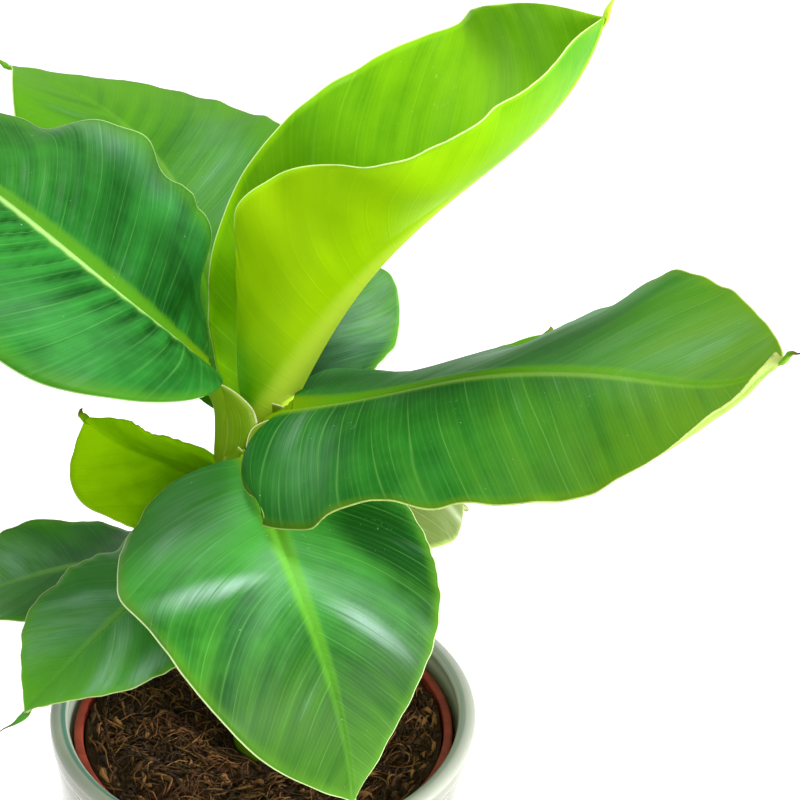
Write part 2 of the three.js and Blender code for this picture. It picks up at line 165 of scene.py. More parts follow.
def setLights():
    for box in softboxes:
        data = bpy.data.lights.new(box["name"], "AREA")
        data.size = box["width"]
        data.energy = box["watts"]
        data.color = box["tint"]
        lamp = bpy.data.objects.new(box["name"], data)
        lamp.location = box["place"]
        lamp.rotation_euler = (Vector(box["aim"]) - Vector(box["place"])).to_track_quat("-Z", "Y").to_euler()
        scene.collection.objects.link(lamp)
    world = bpy.data.worlds.new("softRoom")
    world.use_nodes = True
    nodes = NodeSheet(world.node_tree)
    sky = world.node_tree.nodes["Background"]
    sky.inputs["Color"].default_value = (1.0, 1.0, 1.0, 1.0)
    # the room itself shows white, and lights the plant less strongly
    seen = nodes.add("ShaderNodeLightPath").outputs["Is Camera Ray"]
    nodes.link(nodes.scaleAdd(seen, 1.0 - skyStrength, skyStrength), sky.inputs["Strength"])
    scene.world = world


setCamera(cameraView)
setLights()
print("camera and lights set")


# small helpers for meshes
def smoothCurve(values, t):  # smooth curve through evenly spaced values
    values = np.asarray(values, float)
    last = len(values) - 1
    place = np.clip(t, 0, 1) * last
    i = np.minimum(place.astype(int), last - 1)
    f = place - i
    b, c = values[i], values[i + 1]
    a = np.where(i > 0, values[np.maximum(i - 1, 0)], 2 * b - c)
    d = np.where(i < last - 1, values[np.minimum(i + 2, last)], 2 * c - b)
    return 0.5 * (2 * b + (c - a) * f + (2 * a - 5 * b + 4 * c - d) * f ** 2
                  + (3 * b - a - 3 * c + d) * f ** 3)


def easeStep(low, high, value):
    k = np.clip((value - low) / (high - low), 0, 1)
    return k * k * (3 - 2 * k)


def ripple(rng, t, count, waves):  # irregular smooth waves, about -1 to 1
    total = np.zeros_like(t)
    for k in range(count):
        total += np.sin(2 * math.pi * (waves * (0.6 + 0.9 * k / count) * t + rng.random())) / count ** 0.5
    return total


class ShapeList:  # gathers closed shells, with numbers stored per point
    def __init__(self, *labels):
        self.points, self.faces, self.values = [], [], {label: [] for label in labels}
        self.count = 0

    def add(self, points, faces, **values):
        points = np.asarray(points, float).reshape(-1, 3)
        self.faces.extend(tuple(self.count + i for i in face) for face in faces)
        self.points.append(points)
        for label, store in self.values.items():
            given = np.asarray(values.get(label, 0.0), float).reshape(-1)
            store.append(np.broadcast_to(given, (len(points),)))
        self.count += len(points)

    def build(self, name, material):
        mesh = bpy.data.meshes.new(name)
        mesh.from_pydata((np.concatenate(self.points) * mm).tolist(), [], self.faces)
        for label, store in self.values.items():
            mesh.attributes.new(label, "FLOAT", "POINT").data.foreach_set("value", np.concatenate(store))
        mesh.polygons.foreach_set("use_smooth", [True] * len(mesh.polygons))
        mesh.materials.append(material)
        mesh.update()
        piece = bpy.data.objects.new(name, mesh)
        scene.collection.objects.link(piece)
        return piece


def gridFaces(rows, wide, start=0, closed=False, flip=False):
    faces = []
    for i in range(rows - 1):
        for j in range(wide if closed else wide - 1):
            a, b = start + i * wide + j, start + i * wide + (j + 1) % wide
            face = (a, a + wide, b + wide, b)
            faces.append(face[::-1] if flip else face)
    return faces


def sheetFaces(rows, wide):  # an upper and a lower sheet, joined along both long edges
    below = rows * wide
    faces = gridFaces(rows, wide, flip=True) + gridFaces(rows, wide, start=below)
    for i in range(rows - 1):
        a, b = i * wide, i * wide + wide - 1
        faces.append((a, a + wide, below + a + wide, below + a))
        faces.append((b, below + b, below + b + wide, b + wide))
    return faces


def tubeFaces(rings, sides):  # a closed tube with a point in the middle of each end
    faces = gridFaces(rings, sides, closed=True, flip=True)
    first, final, end = rings * sides, rings * sides + 1, (rings - 1) * sides
    for j in range(sides):
        faces.append((first, (j + 1) % sides, j))
        faces.append((final, end + j, end + (j + 1) % sides))
    return faces


def tubePoints(rings):  # rings as rows x sides x 3
    rings = np.asarray(rings)
    return np.concatenate([rings.reshape(-1, 3), rings[:1].mean(1), rings[-1:].mean(1)])


def circle(sides, start=0.0):  # angles of the points round a ring
    return 2 * math.pi * (np.arange(sides) + start) / sides


def roundAxis(x, y, radius, around, z):
    return np.stack([x + radius * np.cos(around), y + radius * np.sin(around), z + 0 * radius], -1)


def finishPiece(piece, slot, *nodes):
    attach(piece, "root")
    if nodes:
        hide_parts(*nodes)


# leaf finish, shared by every leaf and by the sheaths of the stem
leafColours = ("dark", "light", "underside", "vein", "midrib", "border", "edge", "tip", "wax", "stalk")
leafNumbers = ("veinGap", "veinShare", "waxShare", "borderWidth", "ripeShare")
pointLabels = ("veinMm", "across", "side", "under", "edgeMm", "ribMm", "ribWide", "ribShow", "ribLine",
               "outer", "bloom", "dry", "deep", "stalk")


def makeLeafSkin():
    sockets = [(label, "Color") for label in leafColours] + [(label, "Float") for label in leafNumbers]
    nodes, given, out = startGroup("leafSkin", sockets, [("Color", "Color"), ("Roughness", "Float"),
                                                         ("Height", "Float")])
    vein, across, side, under, edge, ribMm, ribWide, ribShow, ribLine, outer, bloom, dry, deep, stalk = (
        nodes.stored(label) for label in pointLabels)
    place = nodes.place()
    calc, times, scaleAdd = nodes.math, nodes.times, nodes.scaleAdd
    ramp, blend, noise = nodes.ramp, nodes.blend, nodes.noise
    shift = scaleAdd(side, 37.0, times(under, 19.0))  # each half and each face has its own pattern

    def drawnOut(along, out, offset=shift):  # a place stretched along the side veins
        return nodes.spot(times(vein, along), times(across, out), offset)

    # faint streaks run out along the side veins, under slow changes of tone
    fine = noise(drawnOut(1.5, 1.6), 1.0)
    broad = noise(drawnOut(0.10, 0.8), 1.0, 1.5)
    cloud = noise(place, 24.0, 3.0)
    mottle = noise(place, 95.0, 3.0, 0.6)
    tone = scaleAdd(broad, 0.36, scaleAdd(cloud, 0.5, scaleAdd(mottle, 0.2, -0.11)))
    tone = calc("SUBTRACT", scaleAdd(fine, 0.16, tone), deep)
    upper = blend(ramp(tone, 0.2, 0.8), given["dark"], given["light"])
    ripe = times(ramp(scaleAdd(broad, 0.5, outer), 0.6, 1.3), given["ripeShare"])
    upper = blend(ripe, upper, given["border"])
    # side veins at nearly even gaps, some bolder than others, with thin ones between
    beat = calc("ADD", calc("DIVIDE", vein, given["veinGap"]), times(broad, 0.9))
    line = ramp(calc("PINGPONG", beat, 0.5), 0.0, 0.075, 1.0, 0.0)
    thin = ramp(calc("PINGPONG", times(beat, 3.0), 0.5), 0.0, 0.22, 1.0, 0.0)
    bold = ramp(noise(drawnOut(0.3, 1.0), 1.0), 0.38, 0.66)
    lines = times(scaleAdd(thin, 0.3, times(line, bold)), given["veinShare"])
    upper = blend(lines, upper, given["vein"])
    lower = blend(times(calc("SUBTRACT", 0.7, tone), 0.6, clamp=True), given["underside"], given["dark"])
    lower = blend(times(lines, 0.5), lower, given["vein"])
    # thin pale wax in random patches, and painted sheen and highlights where the blade arches up, drawn out
    # along the veins
    patch = noise(drawnOut(0.09, 1.1, calc("ADD", shift, 4.3)), 1.0, 3.0, 0.6)
    wax = times(scaleAdd(ramp(patch, 0.58, 0.8), 0.12, bloom), given["waxShare"])
    wax = times(wax, ramp(scaleAdd(fine, 0.6, patch), 0.5, 1.0, 0.2, 1.35), clamp=True)
    upper = blend(wax, upper, given["wax"])
    # flecks of dust and dry scuffs
    fleck = ramp(noise(place, 700.0, 1.0), 0.80, 0.83)
    scuff = times(ramp(noise(place, 330.0, 4.0, 0.75), 0.60, 0.72), ramp(noise(place, 34.0), 0.62, 0.72))
    upper = blend(scaleAdd(scuff, 0.35, times(fleck, 0.7)), upper, given["wax"])
    colour = blend(under, upper, lower)
    yellow = times(ramp(edge, 0.0, given["borderWidth"], 0.75, 0.0), ramp(cloud, 0.3, 0.6, 0.4, 1.0))
    colour = blend(yellow, colour, given["border"])
    # midrib: a yellow-green band with a paler line beside it, the line partly the rib's own pale colour and
    # partly a painted highlight on its lit side, both fading towards the tip
    reach = calc("DIVIDE", ribMm, ribWide)
    band = times(ramp(scaleAdd(fine, 0.35, reach), 0.7, 2.3, 0.8, 0.0), ribShow)
    pale = ramp(calc("ABSOLUTE", calc("SUBTRACT", reach, 0.75)), 0.25, 0.95, 1.0, 0.0)
    colour = blend(band, colour, given["midrib"])
    colour = blend(times(pale, calc("SUBTRACT", ribLine, under), clamp=True), colour, given["edge"])
    colour = blend(times(stalk, ramp(reach, 0.9, 2.2, 0.9, 0.0)), colour, given["stalk"])
    # pale margin, wider on the underside of ripe leaves, and the dry tip
    hem = times(under, ramp(edge, 2.0, 6.0, 0.45, 0.0))
    colour = blend(calc("MAXIMUM", ramp(edge, 0.15, 0.7, 0.8, 0.0), times(hem, ripe)), colour, given["edge"])
    nodes.link(blend(dry, colour, given["tip"]), out["Color"])
    rough = scaleAdd(under, 0.14, scaleAdd(cloud, 0.2, 0.34))
    nodes.link(calc("ADD", rough, times(dry, 0.3)), out["Roughness"])
    nodes.link(scaleAdd(line, -0.8, scaleAdd(fine, 0.5, times(thin, -0.15))), out["Height"])
    return nodes.tree


leafSkin = makeLeafSkin()


def leafMaterial(name, finish):
    material, nodes, shader = startMaterial(name, Specular_IOR_Level=finish["gloss"])
    skin = nodes.add("ShaderNodeGroup", node_tree=leafSkin)
    for label in leafColours:
        skin.inputs[label].default_value = tint(*finish[label])
    for label in leafNumbers:
        skin.inputs[label].default_value = finish[label]
    nodes.link(skin.outputs["Color"], shader.inputs["Base Color"])
    nodes.link(skin.outputs["Roughness"], shader.inputs["Roughness"])
    nodes.bump(shader, skin.outputs["Height"], finish["relief"] * mm)
    return material


plainFinish = dict(  # colours from 0 to 255; relief, veinGap and borderWidth in millimetres
    gloss=0.07, relief=0.06, underside=(150, 180, 84), vein=(116, 178, 90), tip=(92, 68, 34),
    wax=(168, 196, 188), stalk=(106, 142, 4), veinGap=6.5, veinShare=0.16, waxShare=0.7, borderWidth=4.0,
    ripeShare=0.0)
leafFinishes = {
    "youngLeaf": dict(
        plainFinish, gloss=0.08, relief=0.05, dark=(72, 140, 0), light=(128, 192, 0), underside=(182, 226, 0),
        vein=(160, 216, 40), midrib=(206, 232, 70), border=(136, 200, 0), edge=(222, 240, 160),
        tip=(196, 196, 70), wax=(180, 222, 130), stalk=(124, 158, 6), veinGap=7.5, veinShare=0.14,
        waxShare=0.2),
    "midLeaf": dict(
        plainFinish, gloss=0.08, dark=(22, 86, 4), light=(60, 124, 20), underside=(90, 146, 46),
        vein=(110, 172, 60), midrib=(90, 156, 24), border=(76, 136, 0), edge=(196, 216, 140),
        tip=(120, 84, 40), wax=(140, 190, 164), veinGap=7.0, veinShare=0.12, borderWidth=24.0, ripeShare=0.9),
    "oldLeaf": dict(
        plainFinish, dark=(8, 64, 10), light=(54, 136, 40), midrib=(100, 166, 36), border=(74, 124, 20),
        edge=(206, 226, 160), veinGap=7.0, waxShare=0.62, borderWidth=7.0, ripeShare=0.75),
    "leftLeaf": dict(
        plainFinish, dark=(6, 64, 14), light=(48, 138, 48), midrib=(82, 142, 16), border=(74, 132, 20),
        edge=(172, 214, 126), veinGap=6.0, veinShare=0.18, waxShare=0.62, borderWidth=12.0, ripeShare=0.6),
    "rightLeaf": dict(
        plainFinish, gloss=0.02, dark=(14, 78, 20), light=(46, 122, 36), underside=(140, 170, 66),
        vein=(116, 172, 80), midrib=(100, 158, 12), border=(92, 132, 18), edge=(192, 212, 120),
        wax=(156, 192, 170), veinShare=0.24, waxShare=0.55, borderWidth=5.0, ripeShare=0.8),
    "darkLeaf": dict(
        plainFinish, gloss=0.09, dark=(14, 74, 14), light=(48, 124, 38), underside=(92, 140, 70),
        vein=(100, 162, 80), midrib=(84, 152, 44), border=(84, 150, 24), edge=(190, 208, 140),
        tip=(84, 62, 34), wax=(150, 190, 172), veinGap=7.5, borderWidth=6.0, ripeShare=0.7),
    "oliveLeaf": dict(
        plainFinish, gloss=0.0, relief=0.05, dark=(92, 144, 0), light=(160, 214, 4), underside=(158, 214, 0),
        vein=(140, 186, 40), midrib=(100, 150, 4), border=(126, 176, 10), edge=(170, 196, 80),
        tip=(110, 84, 40), wax=(150, 186, 60), veinShare=0.08, waxShare=0.1, ripeShare=0.1),
    "paleLeaf": dict(
        plainFinish, gloss=0.12, relief=0.05, dark=(98, 118, 50), light=(122, 140, 76),
        underside=(112, 128, 62), vein=(190, 204, 140), midrib=(176, 190, 120), border=(160, 180, 90),
        edge=(226, 232, 190), tip=(130, 110, 60), wax=(206, 216, 178), veinShare=0.2),
}
leafMaterials = {name: leafMaterial(name, finish) for name, finish in leafFinishes.items()}
print("leaf finishes made")


# stem
stem = {  # millimetres and degrees
    "foot": (6.0, 6.0, 148.0), "top": (-7.0, 2.0, 308.0), "footRadius": 18.0, "topRadius": 14.0,
    "flare": 2.5, "flareHeight": 22.0, "rings": 90, "sides": 72,
    # a shoulder stands out below each stalk, from a little above its foot
    "shoulder": 3.0, "shoulderAbove": 4.0, "shoulderEase": 8.0, "shoulderDrop": 42.0, "shoulderTurn": 48.0,
}
soilTop = stem["foot"][2]


def stemAxis(z):
    k = (np.asarray(z, float) - soilTop) / (stem["top"][2] - soilTop)
    foot, top = np.array(stem["foot"]), np.array(stem["top"])
    return foot + (top - foot) * k[..., None]


def stemRadius(z, turn, leaves):
    k = (z - soilTop) / (stem["top"][2] - soilTop)
    plain = stem["footRadius"] + (stem["topRadius"] - stem["footRadius"]) * k
    radius = plain + stem["flare"] * np.maximum(0, 1 - (z - soilTop) / stem["flareHeight"]) ** 2
    ease, drop = stem["shoulderEase"], stem["shoulderDrop"]
    for leaf in leaves:
        below = soilTop + leaf["foot"] + stem["shoulderAbove"] - z
        rise = np.where(below < 0, 1 + below / ease, 1 - below / drop)
        rise = np.where((below < -ease) | (below > drop), 0, rise)
        away = np.abs((turn - leaf["heading"] + 180) % 360 - 180)
        across = np.maximum(0, 1 - away / stem["shoulderTurn"])
        bulge = stem["shoulder"] * rise ** 2 * (3 - 2 * rise) * across ** 2 * (3 - 2 * across)
        radius = np.maximum(radius, plain + bulge)
    return radius


# leaves, in millimetres and degrees; lobe, fold, curl, wave and hem hold the right half's values, then the
# left half's, as they lie when seen from the foot
# foot: height up the stem; out: way from its axis; root: how far the stalk reaches back in; petiole: the
# stalk's length; heading: compass way from +X; rise: slope at the stalk's foot, then along the rib; turn,
# bank: the rib's swing and roll; width, neck: half widths of the blade; widest: the larger, the nearer the
# broadest place lies to the tip; round: how pointed the outline is at the foot and at the tip; lobe: how
# far the margin is drawn back to the foot; tail: the dry tip's length, rise and turn; rib: the midrib's
# radius at the foot
# fold, curl: each half's bend at the rib, and from there to the margin; wave: height, number and start of
# waves
# pleat: ribbing along the veins; creases: hollows beside them; frill: unevenness of the margin; hem: the
# margin turns up beyond a share of the length, by so many millimetres
# dryTail: how dry the tail is; ribLine: pale line beside the rib, partly its own colour and partly a painted
# highlight on its lit side, on the left half when below 0; ribFade: how much of the rib is lost at the tip;
# ripe: how far the yellowing comes down from the tip; deep: darkening at the foot and at the tip, with
# deepLeft and deepUnder where the left half and the underside differ
# bloom: soft pale patches of painted sheen and highlights, with a few pale scuffs, and dark patches of
# painted shade and shadow where the strength is below 0: place along and across the leaf, how far each
# reaches along and across, its strength, and how far it slants off the veins
leafHabit = dict(
    out=7, root=6, neck=5, widest=0.8, pleat=0.08, creases=0.1, frill=0.3, dryTail=0.9, ribLine=0.1,
    ribFade=0.8, ripe=1.0, hem=((1.0, 0.0), (1.0, 0.0)), deep=(0.0, 0.0), bloom=[])
youngLeaf = dict(
    leafHabit, node="young_leaf", slot="young_leaf", finish="youngLeaf", seed=1,
    foot=151, out=0, petiole=15, heading=26, rise=[57, 64, 60, 48, 46, 77], turn=[-43, -16],
    bank=[27, -13, -8],
    length=231, width=66, neck=6, widest=1, round=[0.9, 0.55], lobe=(-22, 3), tail=[18, -60, -20], rib=5.6,
    fold=([77, 40, 14, 39], [36, 59, 40, 66]), curl=([218, 114, 68, 32], [23, 22, -11, -20]),
    wave=([2.9, 3.1, 0.8], [5.7, 1.9, 0.2]),
    pleat=0.1, creases=0.05, dryTail=0.3, ribLine=0.0, ribFade=0.5, deep=(0.0, -0.1), deepUnder=(0.05, 1.6),
    # the second patch is painted shade at the foot of the blade
    bloom=[(0.75, -0.4, 0.2, 0.4, 0.5, 0.0), (0.02, 0.4, 0.12, 0.4, -2.0, 0.0)])
rightLeaf = dict(
    leafHabit, node="right_leaf", slot="leaf", finish="rightLeaf", seed=2,
    foot=167, root=9, petiole=20, heading=-21, rise=[81, 18, 26, 17, 16, 54], turn=[-12, -42],
    bank=[11, -23, -24],
    length=234, width=73, neck=6, widest=0.75, round=[1.2, 1.7], lobe=(34, 18), tail=[10, -40, 30], rib=5,
    fold=([5, 8, 2, -7], [20, -22, -3, 10]), curl=([-90, -11, -17, 10], [-43, -13, -2, 0]),
    wave=([4, 3, 0.6], [4.1, 2.3, 0.6]),
    pleat=0.12, creases=0.15, frill=0.5, ribLine=0.25, ribFade=0.6, ripe=1.05, hem=((0.7, 3.2), (1.0, 0.0)),
    deep=(0.1, -0.1), deepLeft=(-0.3, -0.1),
    bloom=[(0.08, 0.55, 0.05, 0.3, 0.2, 0.0), (0.046, 0.3, 0.02, 0.25, 0.4, 0.0),
           (0.2, -0.68, 0.14, 0.38, 1.1, 0.0), (0.6, -0.2, 0.2, 0.3, 0.2, 0.0)])
leftLeaf = dict(
    leafHabit, node="left_leaf", slot="leaf", finish="leftLeaf", seed=3,
    foot=173, root=18, petiole=25, heading=176, rise=[87, 48, 36, 26, 12, -4], turn=[-23, -2],
    bank=[-8, 4, -8],
    length=228, width=68, neck=6, widest=0.6, round=[0.75, 1.8], lobe=(-14, -7), tail=[10, -20, 0], rib=5,
    fold=([6, 18, 1, -1], [30, 4, 2, 0]), curl=([-4, -4, -16, -16], [-56, -32, -21, -17]),
    wave=([6.1, 3.6, 0.7], [2.6, 2.7, 0.2]),
    pleat=0.1, creases=1.6, ribLine=-0.85, ribFade=0.2, deep=(0.0, 0.05),
    bloom=[(0.3, 0.9, 0.12, 0.15, 0.3, 0.0), (0.78, -0.6, 0.12, 0.4, 0.4, 0.0),
           (0.2, -0.62, 0.07, 0.22, 0.07, 0.0)])
backLeftLeaf = dict(
    leafHabit, node="back_left_leaf", slot="leaf", finish="midLeaf", seed=4,
    foot=132, petiole=35, heading=106, rise=[46, 55, 36, 18, 8, 4], turn=[10, 42], bank=[4, 4, -16],
    length=248, width=59, neck=6, widest=1.05, round=[0.8, 2.4], lobe=(-8, -8), tail=[9, 30, 0], rib=4.6,
    fold=([29, 24, 2, 0], [36, 24, 8, 10]), curl=([0, 0, 0, 0], [0, 0, 0, 0]),
    wave=([1.5, 2.6, 0.1], [2.7, 2.2, 0.6]),
    pleat=0.12, frill=0.4, dryTail=0.8, ribFade=0.9, deep=(-0.25, 0.05),
    bloom=[(0.38, 0.5, 0.14, 0.4, 0.2, 0.0)])
frontLeaf = dict(
    leafHabit, node="front_leaf", slot="leaf", finish="oldLeaf", seed=5,
    foot=161, petiole=11, heading=-81, rise=[48, -14, -20, -35, -57, -81], turn=[15, 18], bank=[0, 6, 5],
    length=159, width=67, neck=6, round=[0.9, 2.15], lobe=(4, 14), tail=[5, 10, 0], rib=4.4,
    fold=([-2, 0, 4, 2], [-7, -3, -6, -15]), curl=([-62, -13, 1, 0], [-20, -13, -5, -20]),
    wave=([5, 1.5, 0.4], [0.2, 2.8, 0.6]),
    creases=0.12, dryTail=0.15, ribLine=0.0, ribFade=0.85, ripe=0.85, deep=(-0.5, 0.6),
    # the first patch is a painted shadow cast by the right leaf
    bloom=[(0.17, -0.66, 0.11, 0.36, -0.6, 0.0), (0.135, 0.6, 0.03, 0.2, 0.5, 0.0),
           (0.12, 0.45, 0.1, 0.3, 0.3, 0.0), (0.384, 0.5, 0.018, 0.32, 0.85, 0.2),
           (0.45, -0.33, 0.035, 0.2, 0.8, 0.0), (0.38, -0.1, 0.1, 0.5, 0.25, 0.0)])
backRightLeaf = dict(
    leafHabit, node="back_right_leaf", slot="old_leaf", finish="darkLeaf", seed=6,
    foot=125, petiole=41, heading=72, rise=[27, 34, 30, 27, 22, 16], turn=[-10, -15], bank=[5, -1, 5],
    length=95, width=34, widest=0.9, round=[0.75, 0.8], lobe=(6, 5), tail=[4, 0, 0], rib=3.2,
    fold=([14, 15, 0, 16], [6, 6, 7, 7]), curl=([-4, -4, -13, -8], [-10, -9, -8, -8]),
    wave=([1.3, 2.6, 0.1], [1, 2, 0.6]),
    frill=0.2, dryTail=0.8, ribLine=0.2, deep=(0.2, 0.2),
    bloom=[(0.6, 0.4, 0.5, 0.8, 0.3, 0.0)])
smallLeftLeaf = dict(
    leafHabit, node="small_left_leaf", slot="pale_leaf", finish="oliveLeaf", seed=7,
    foot=130, petiole=14, heading=162, rise=[46, 20, 18, 18, 19, 18], turn=[7, -27], bank=[-3, -7, 6],
    length=63, width=41, round=[0.75, 1.8], lobe=(5, 4), tail=[5, 30, 0], rib=3,
    fold=([-12, -7, -14, -15], [-22, -21, -26, -42]), curl=([-16, -8, -8, -7], [-7, -3, 3, -6]),
    wave=([0.6, 2.1, 0.1], [1.5, 1.7, 0.6]),
    frill=0.2, ribLine=0.0, ribFade=0.9, deep=(0.25, -0.35))
lowLeftLeaf = dict(
    leafHabit, node="low_left_leaf", slot="old_leaf", finish="darkLeaf", seed=8,
    foot=94, petiole=23, heading=168, rise=[36, -12, -14, -23, -29, -29], turn=[0, 0], bank=[-4, 1, 2],
    length=139, width=41, round=[0.75, 1.85], lobe=(6, 6), tail=[8, -10, 0], rib=3.4,
    fold=([-2, -6, 18, 14], [3, 2, 10, 12]), curl=([-18, -16, 1, 1], [-12, -10, -4, -1]),
    wave=([2, 3, 0.1], [1.1, 3.1, 0.6]),
    ribLine=0.2, ribFade=0.7, deep=(0.0, -0.1),
    bloom=[(0.6, 0.3, 0.15, 0.4, 0.4, 0.0)])
lowFrontLeftLeaf = dict(
    leafHabit, node="low_front_left_leaf", slot="old_leaf", finish="darkLeaf", seed=9,
    foot=108, petiole=20, heading=-148, rise=[37, -7, -21, -30, -34, -34], turn=[3, 3], bank=[-2, -3, -4],
    length=103, width=47, round=[0.75, 2.25], lobe=(8, 8), tail=[14, 20, -10], rib=3.4,
    fold=([0, -2, 10, 14], [4, 4, 10, 25]), curl=([-15, -14, -9, 1], [-11, -10, -8, -2]),
    wave=([1.7, 2.9, 0.1], [0.9, 3.2, 0.6]),
    creases=0.15, ribFade=0.7, deep=(-0.2, -0.3),
    bloom=[(0.45, -0.45, 0.06, 0.4, 0.6, 0.0), (0.36, 0.4, 0.05, 0.4, 0.5, 0.0),
           (0.5, 0.4, 0.16, 0.4, 0.3, 0.0), (0.29, -0.86, 0.1, 0.15, 0.6, 0.0)])
lowRightLeaf = dict(
    leafHabit, node="low_right_leaf", slot="pale_leaf", finish="paleLeaf", seed=10,
    foot=123, petiole=17, heading=19, rise=[35, 11, -4, -18, -32, -46], turn=[8, 2], bank=[-1, -2, -5],
    length=88, width=43, widest=0.85, round=[0.75, 1.6], lobe=(6, 6), tail=[5, -10, 0], rib=3.2,
    fold=([-10, -11, -10, -13], [2, 3, 4, 5]), curl=([-10, -9, -7, -7], [-8, -8, -7, -7]),
    wave=([0.8, 2.1, 0.1], [1, 2, 0.6]),
    frill=0.2,
    bloom=[(0.7, 0.5, 0.06, 0.5, 0.8, 0.0)])
hiddenRightLeaf = dict(
    leafHabit, node="hidden_right_leaf", slot="leaf", finish="midLeaf", seed=11,
    foot=132, petiole=26, heading=24, rise=[41, 11, 16, 15, 20, 27], turn=[4, 2], bank=[-6, -8, 0],
    length=122, width=28, round=[0.8, 1.8], lobe=(0, -4), tail=[4, 10, 0], rib=3.2,
    fold=([-1, -5, 1, 5], [-22, -14, -17, -10]), curl=([-11, -9, -9, -1], [-9, 7, -5, -1]),
    wave=([0.9, 3, 0.1], [0.6, 3.2, 0.6]),
    frill=0.2, dryTail=0.8)
allLeaves = [youngLeaf, rightLeaf, leftLeaf, backLeftLeaf, frontLeaf, backRightLeaf, smallLeftLeaf,
             lowLeftLeaf, lowFrontLeftLeaf, lowRightLeaf, hiddenRightLeaf]
leafMeshes = {  # millimetres: thick is half the blade's thickness, gutter how far the sheath gapes
    "long": {"rows": 150, "columns": 30, "ribRings": 120, "ribSides": 20, "thick": 0.42, "gutter": 8.5},
    "short": {"rows": 100, "columns": 22, "ribRings": 80, "ribSides": 16, "thick": 0.32, "gutter": 5.0},
}
leafForm = {  # millimetres; what all the leaves share
    "longFrom": 150, "stalkRun": 8.0, "stalkRows": 6, "spineSteps": 361, "tailRadius": 0.9,
    "longPleat": 15.0, "shortPleat": 8.3, "creaseGap": 8.5,
}
stalkRun = leafForm["stalkRun"]  # the blade grows out of the stalk's channel over this length


def leafMesh(leaf):
    return leafMeshes["long" if leaf["length"] > leafForm["longFrom"] else "short"]


def alongShare(leaf, s):  # share of the blade's length, and share of the tail beyond it
    return np.clip(s / leaf["length"], 0, 1), np.maximum(0, s - leaf["length"]) / leaf["tail"][0]


def readSpine(leaf):  # the rib's line from the stalk's root to the end of the tail, with its directions
    tail, tailRise, tailTurn = leaf["tail"]
    s = np.linspace(-leaf["petiole"] - leaf["root"] - 1, leaf["length"] + tail, leafForm["spineSteps"])
    u, past = alongShare(leaf, s)
    stalk = leaf["rise"][0] + (leaf["rise"][1] - leaf["rise"][0]) * np.maximum(0, 1 + s / leaf["petiole"])
    rise = np.radians(np.where(s < 0, stalk, smoothCurve(leaf["rise"][1:], u) + tailRise * past))
    turn = np.radians(leaf["heading"] + np.where(s < 0, 0, smoothCurve([0] + leaf["turn"], u))
                      + tailTurn * past)
    bank = np.radians(smoothCurve(leaf["bank"], u))[:, None]
    along = np.stack([np.cos(rise) * np.cos(turn), np.cos(rise) * np.sin(turn), np.sin(rise)], 1)
    flat = np.stack([np.sin(turn), -np.cos(turn), 0 * turn], 1)
    upright = np.cross(flat, along)
    spine = {"s": s, "along": along, "across": flat * np.cos(bank) + upright * np.sin(bank),
             "normal": upright * np.cos(bank) - flat * np.sin(bank)}
    steps = (along[1:] + along[:-1]) / 2 * (s[1] - s[0])
    spine["at"] = np.concatenate([np.zeros((1, 3)), np.cumsum(steps, 0)])
    heading = math.radians(leaf["heading"])
    outward = np.array([math.cos(heading), math.sin(heading), 0])
    foot = stemAxis(soilTop + leaf["foot"]) + leaf["out"] * outward
    spine["at"] = spine["at"] + foot - alongSpine(spine, "at", np.array(-leaf["petiole"]))
    return spine


def alongSpine(spine, key, s):  # a place or direction of the spine at distance s
    return np.stack([np.interp(s, spine["s"], spine[key][:, k]) for k in range(3)], -1)


def placeAndAxes(spine, s):
    return (alongSpine(spine, key, s) for key in ("at", "across", "normal"))


def ribRadius(leaf, s):
    u, past = alongShare(leaf, s)
    return (leaf["rib"] + (leafForm["tailRadius"] - leaf["rib"]) * u ** 0.7) * (1 - 0.45 * past)


def veinRows(leaf, half, rng):  # one row of points for each step along the rib
    stalkX = np.linspace(-stalkRun, -1.0, leafForm["stalkRows"])
    q = np.linspace(0, 0.993, leafMesh(leaf)["rows"])
    h = (1 - np.cos(math.pi * q)) / 2
    power = leaf["round"][0] + (leaf["round"][1] - leaf["round"][0]) * q * q
    wide = np.maximum(0, np.sin(math.pi * q ** leaf["widest"])) ** power
    lobe = leaf["lobe"][half] * np.sin(math.pi * np.minimum(q / 0.36, 1))
    frill = leaf["frill"] * ripple(rng, h, 5, 13) * easeStep(0, 0.1, q) * easeStep(1, 0.93, q)
    grow = easeStep(-stalkRun, 0, stalkX)
    narrow = 0.3 * leaf["rib"]
    return {
        "ribX": np.concatenate([stalkX, leaf["length"] * (h - 0.07 * np.sin(math.pi * h))]),
        "marginX": np.concatenate([stalkX, leaf["length"] * h - lobe]),
        "marginY": np.concatenate([narrow + (leaf["neck"] - narrow) * grow,
                                   leaf["neck"] * (1 - q) ** 2 + leaf["width"] * wide + 0.35 * frill]),
        "sink": np.concatenate([0.35 * leaf["rib"] * (1 - grow), 0 * q]),
        "frill": np.concatenate([0 * stalkX, frill]),
    }


def veinPlace(leaf, x, y):  # where the side vein through a point leaves the rib
    u = np.clip(x / leaf["length"], -0.1, 1)
    return x - (1.45 * np.maximum(0, u + 0.1) ** 0.8 - 0.3) * y


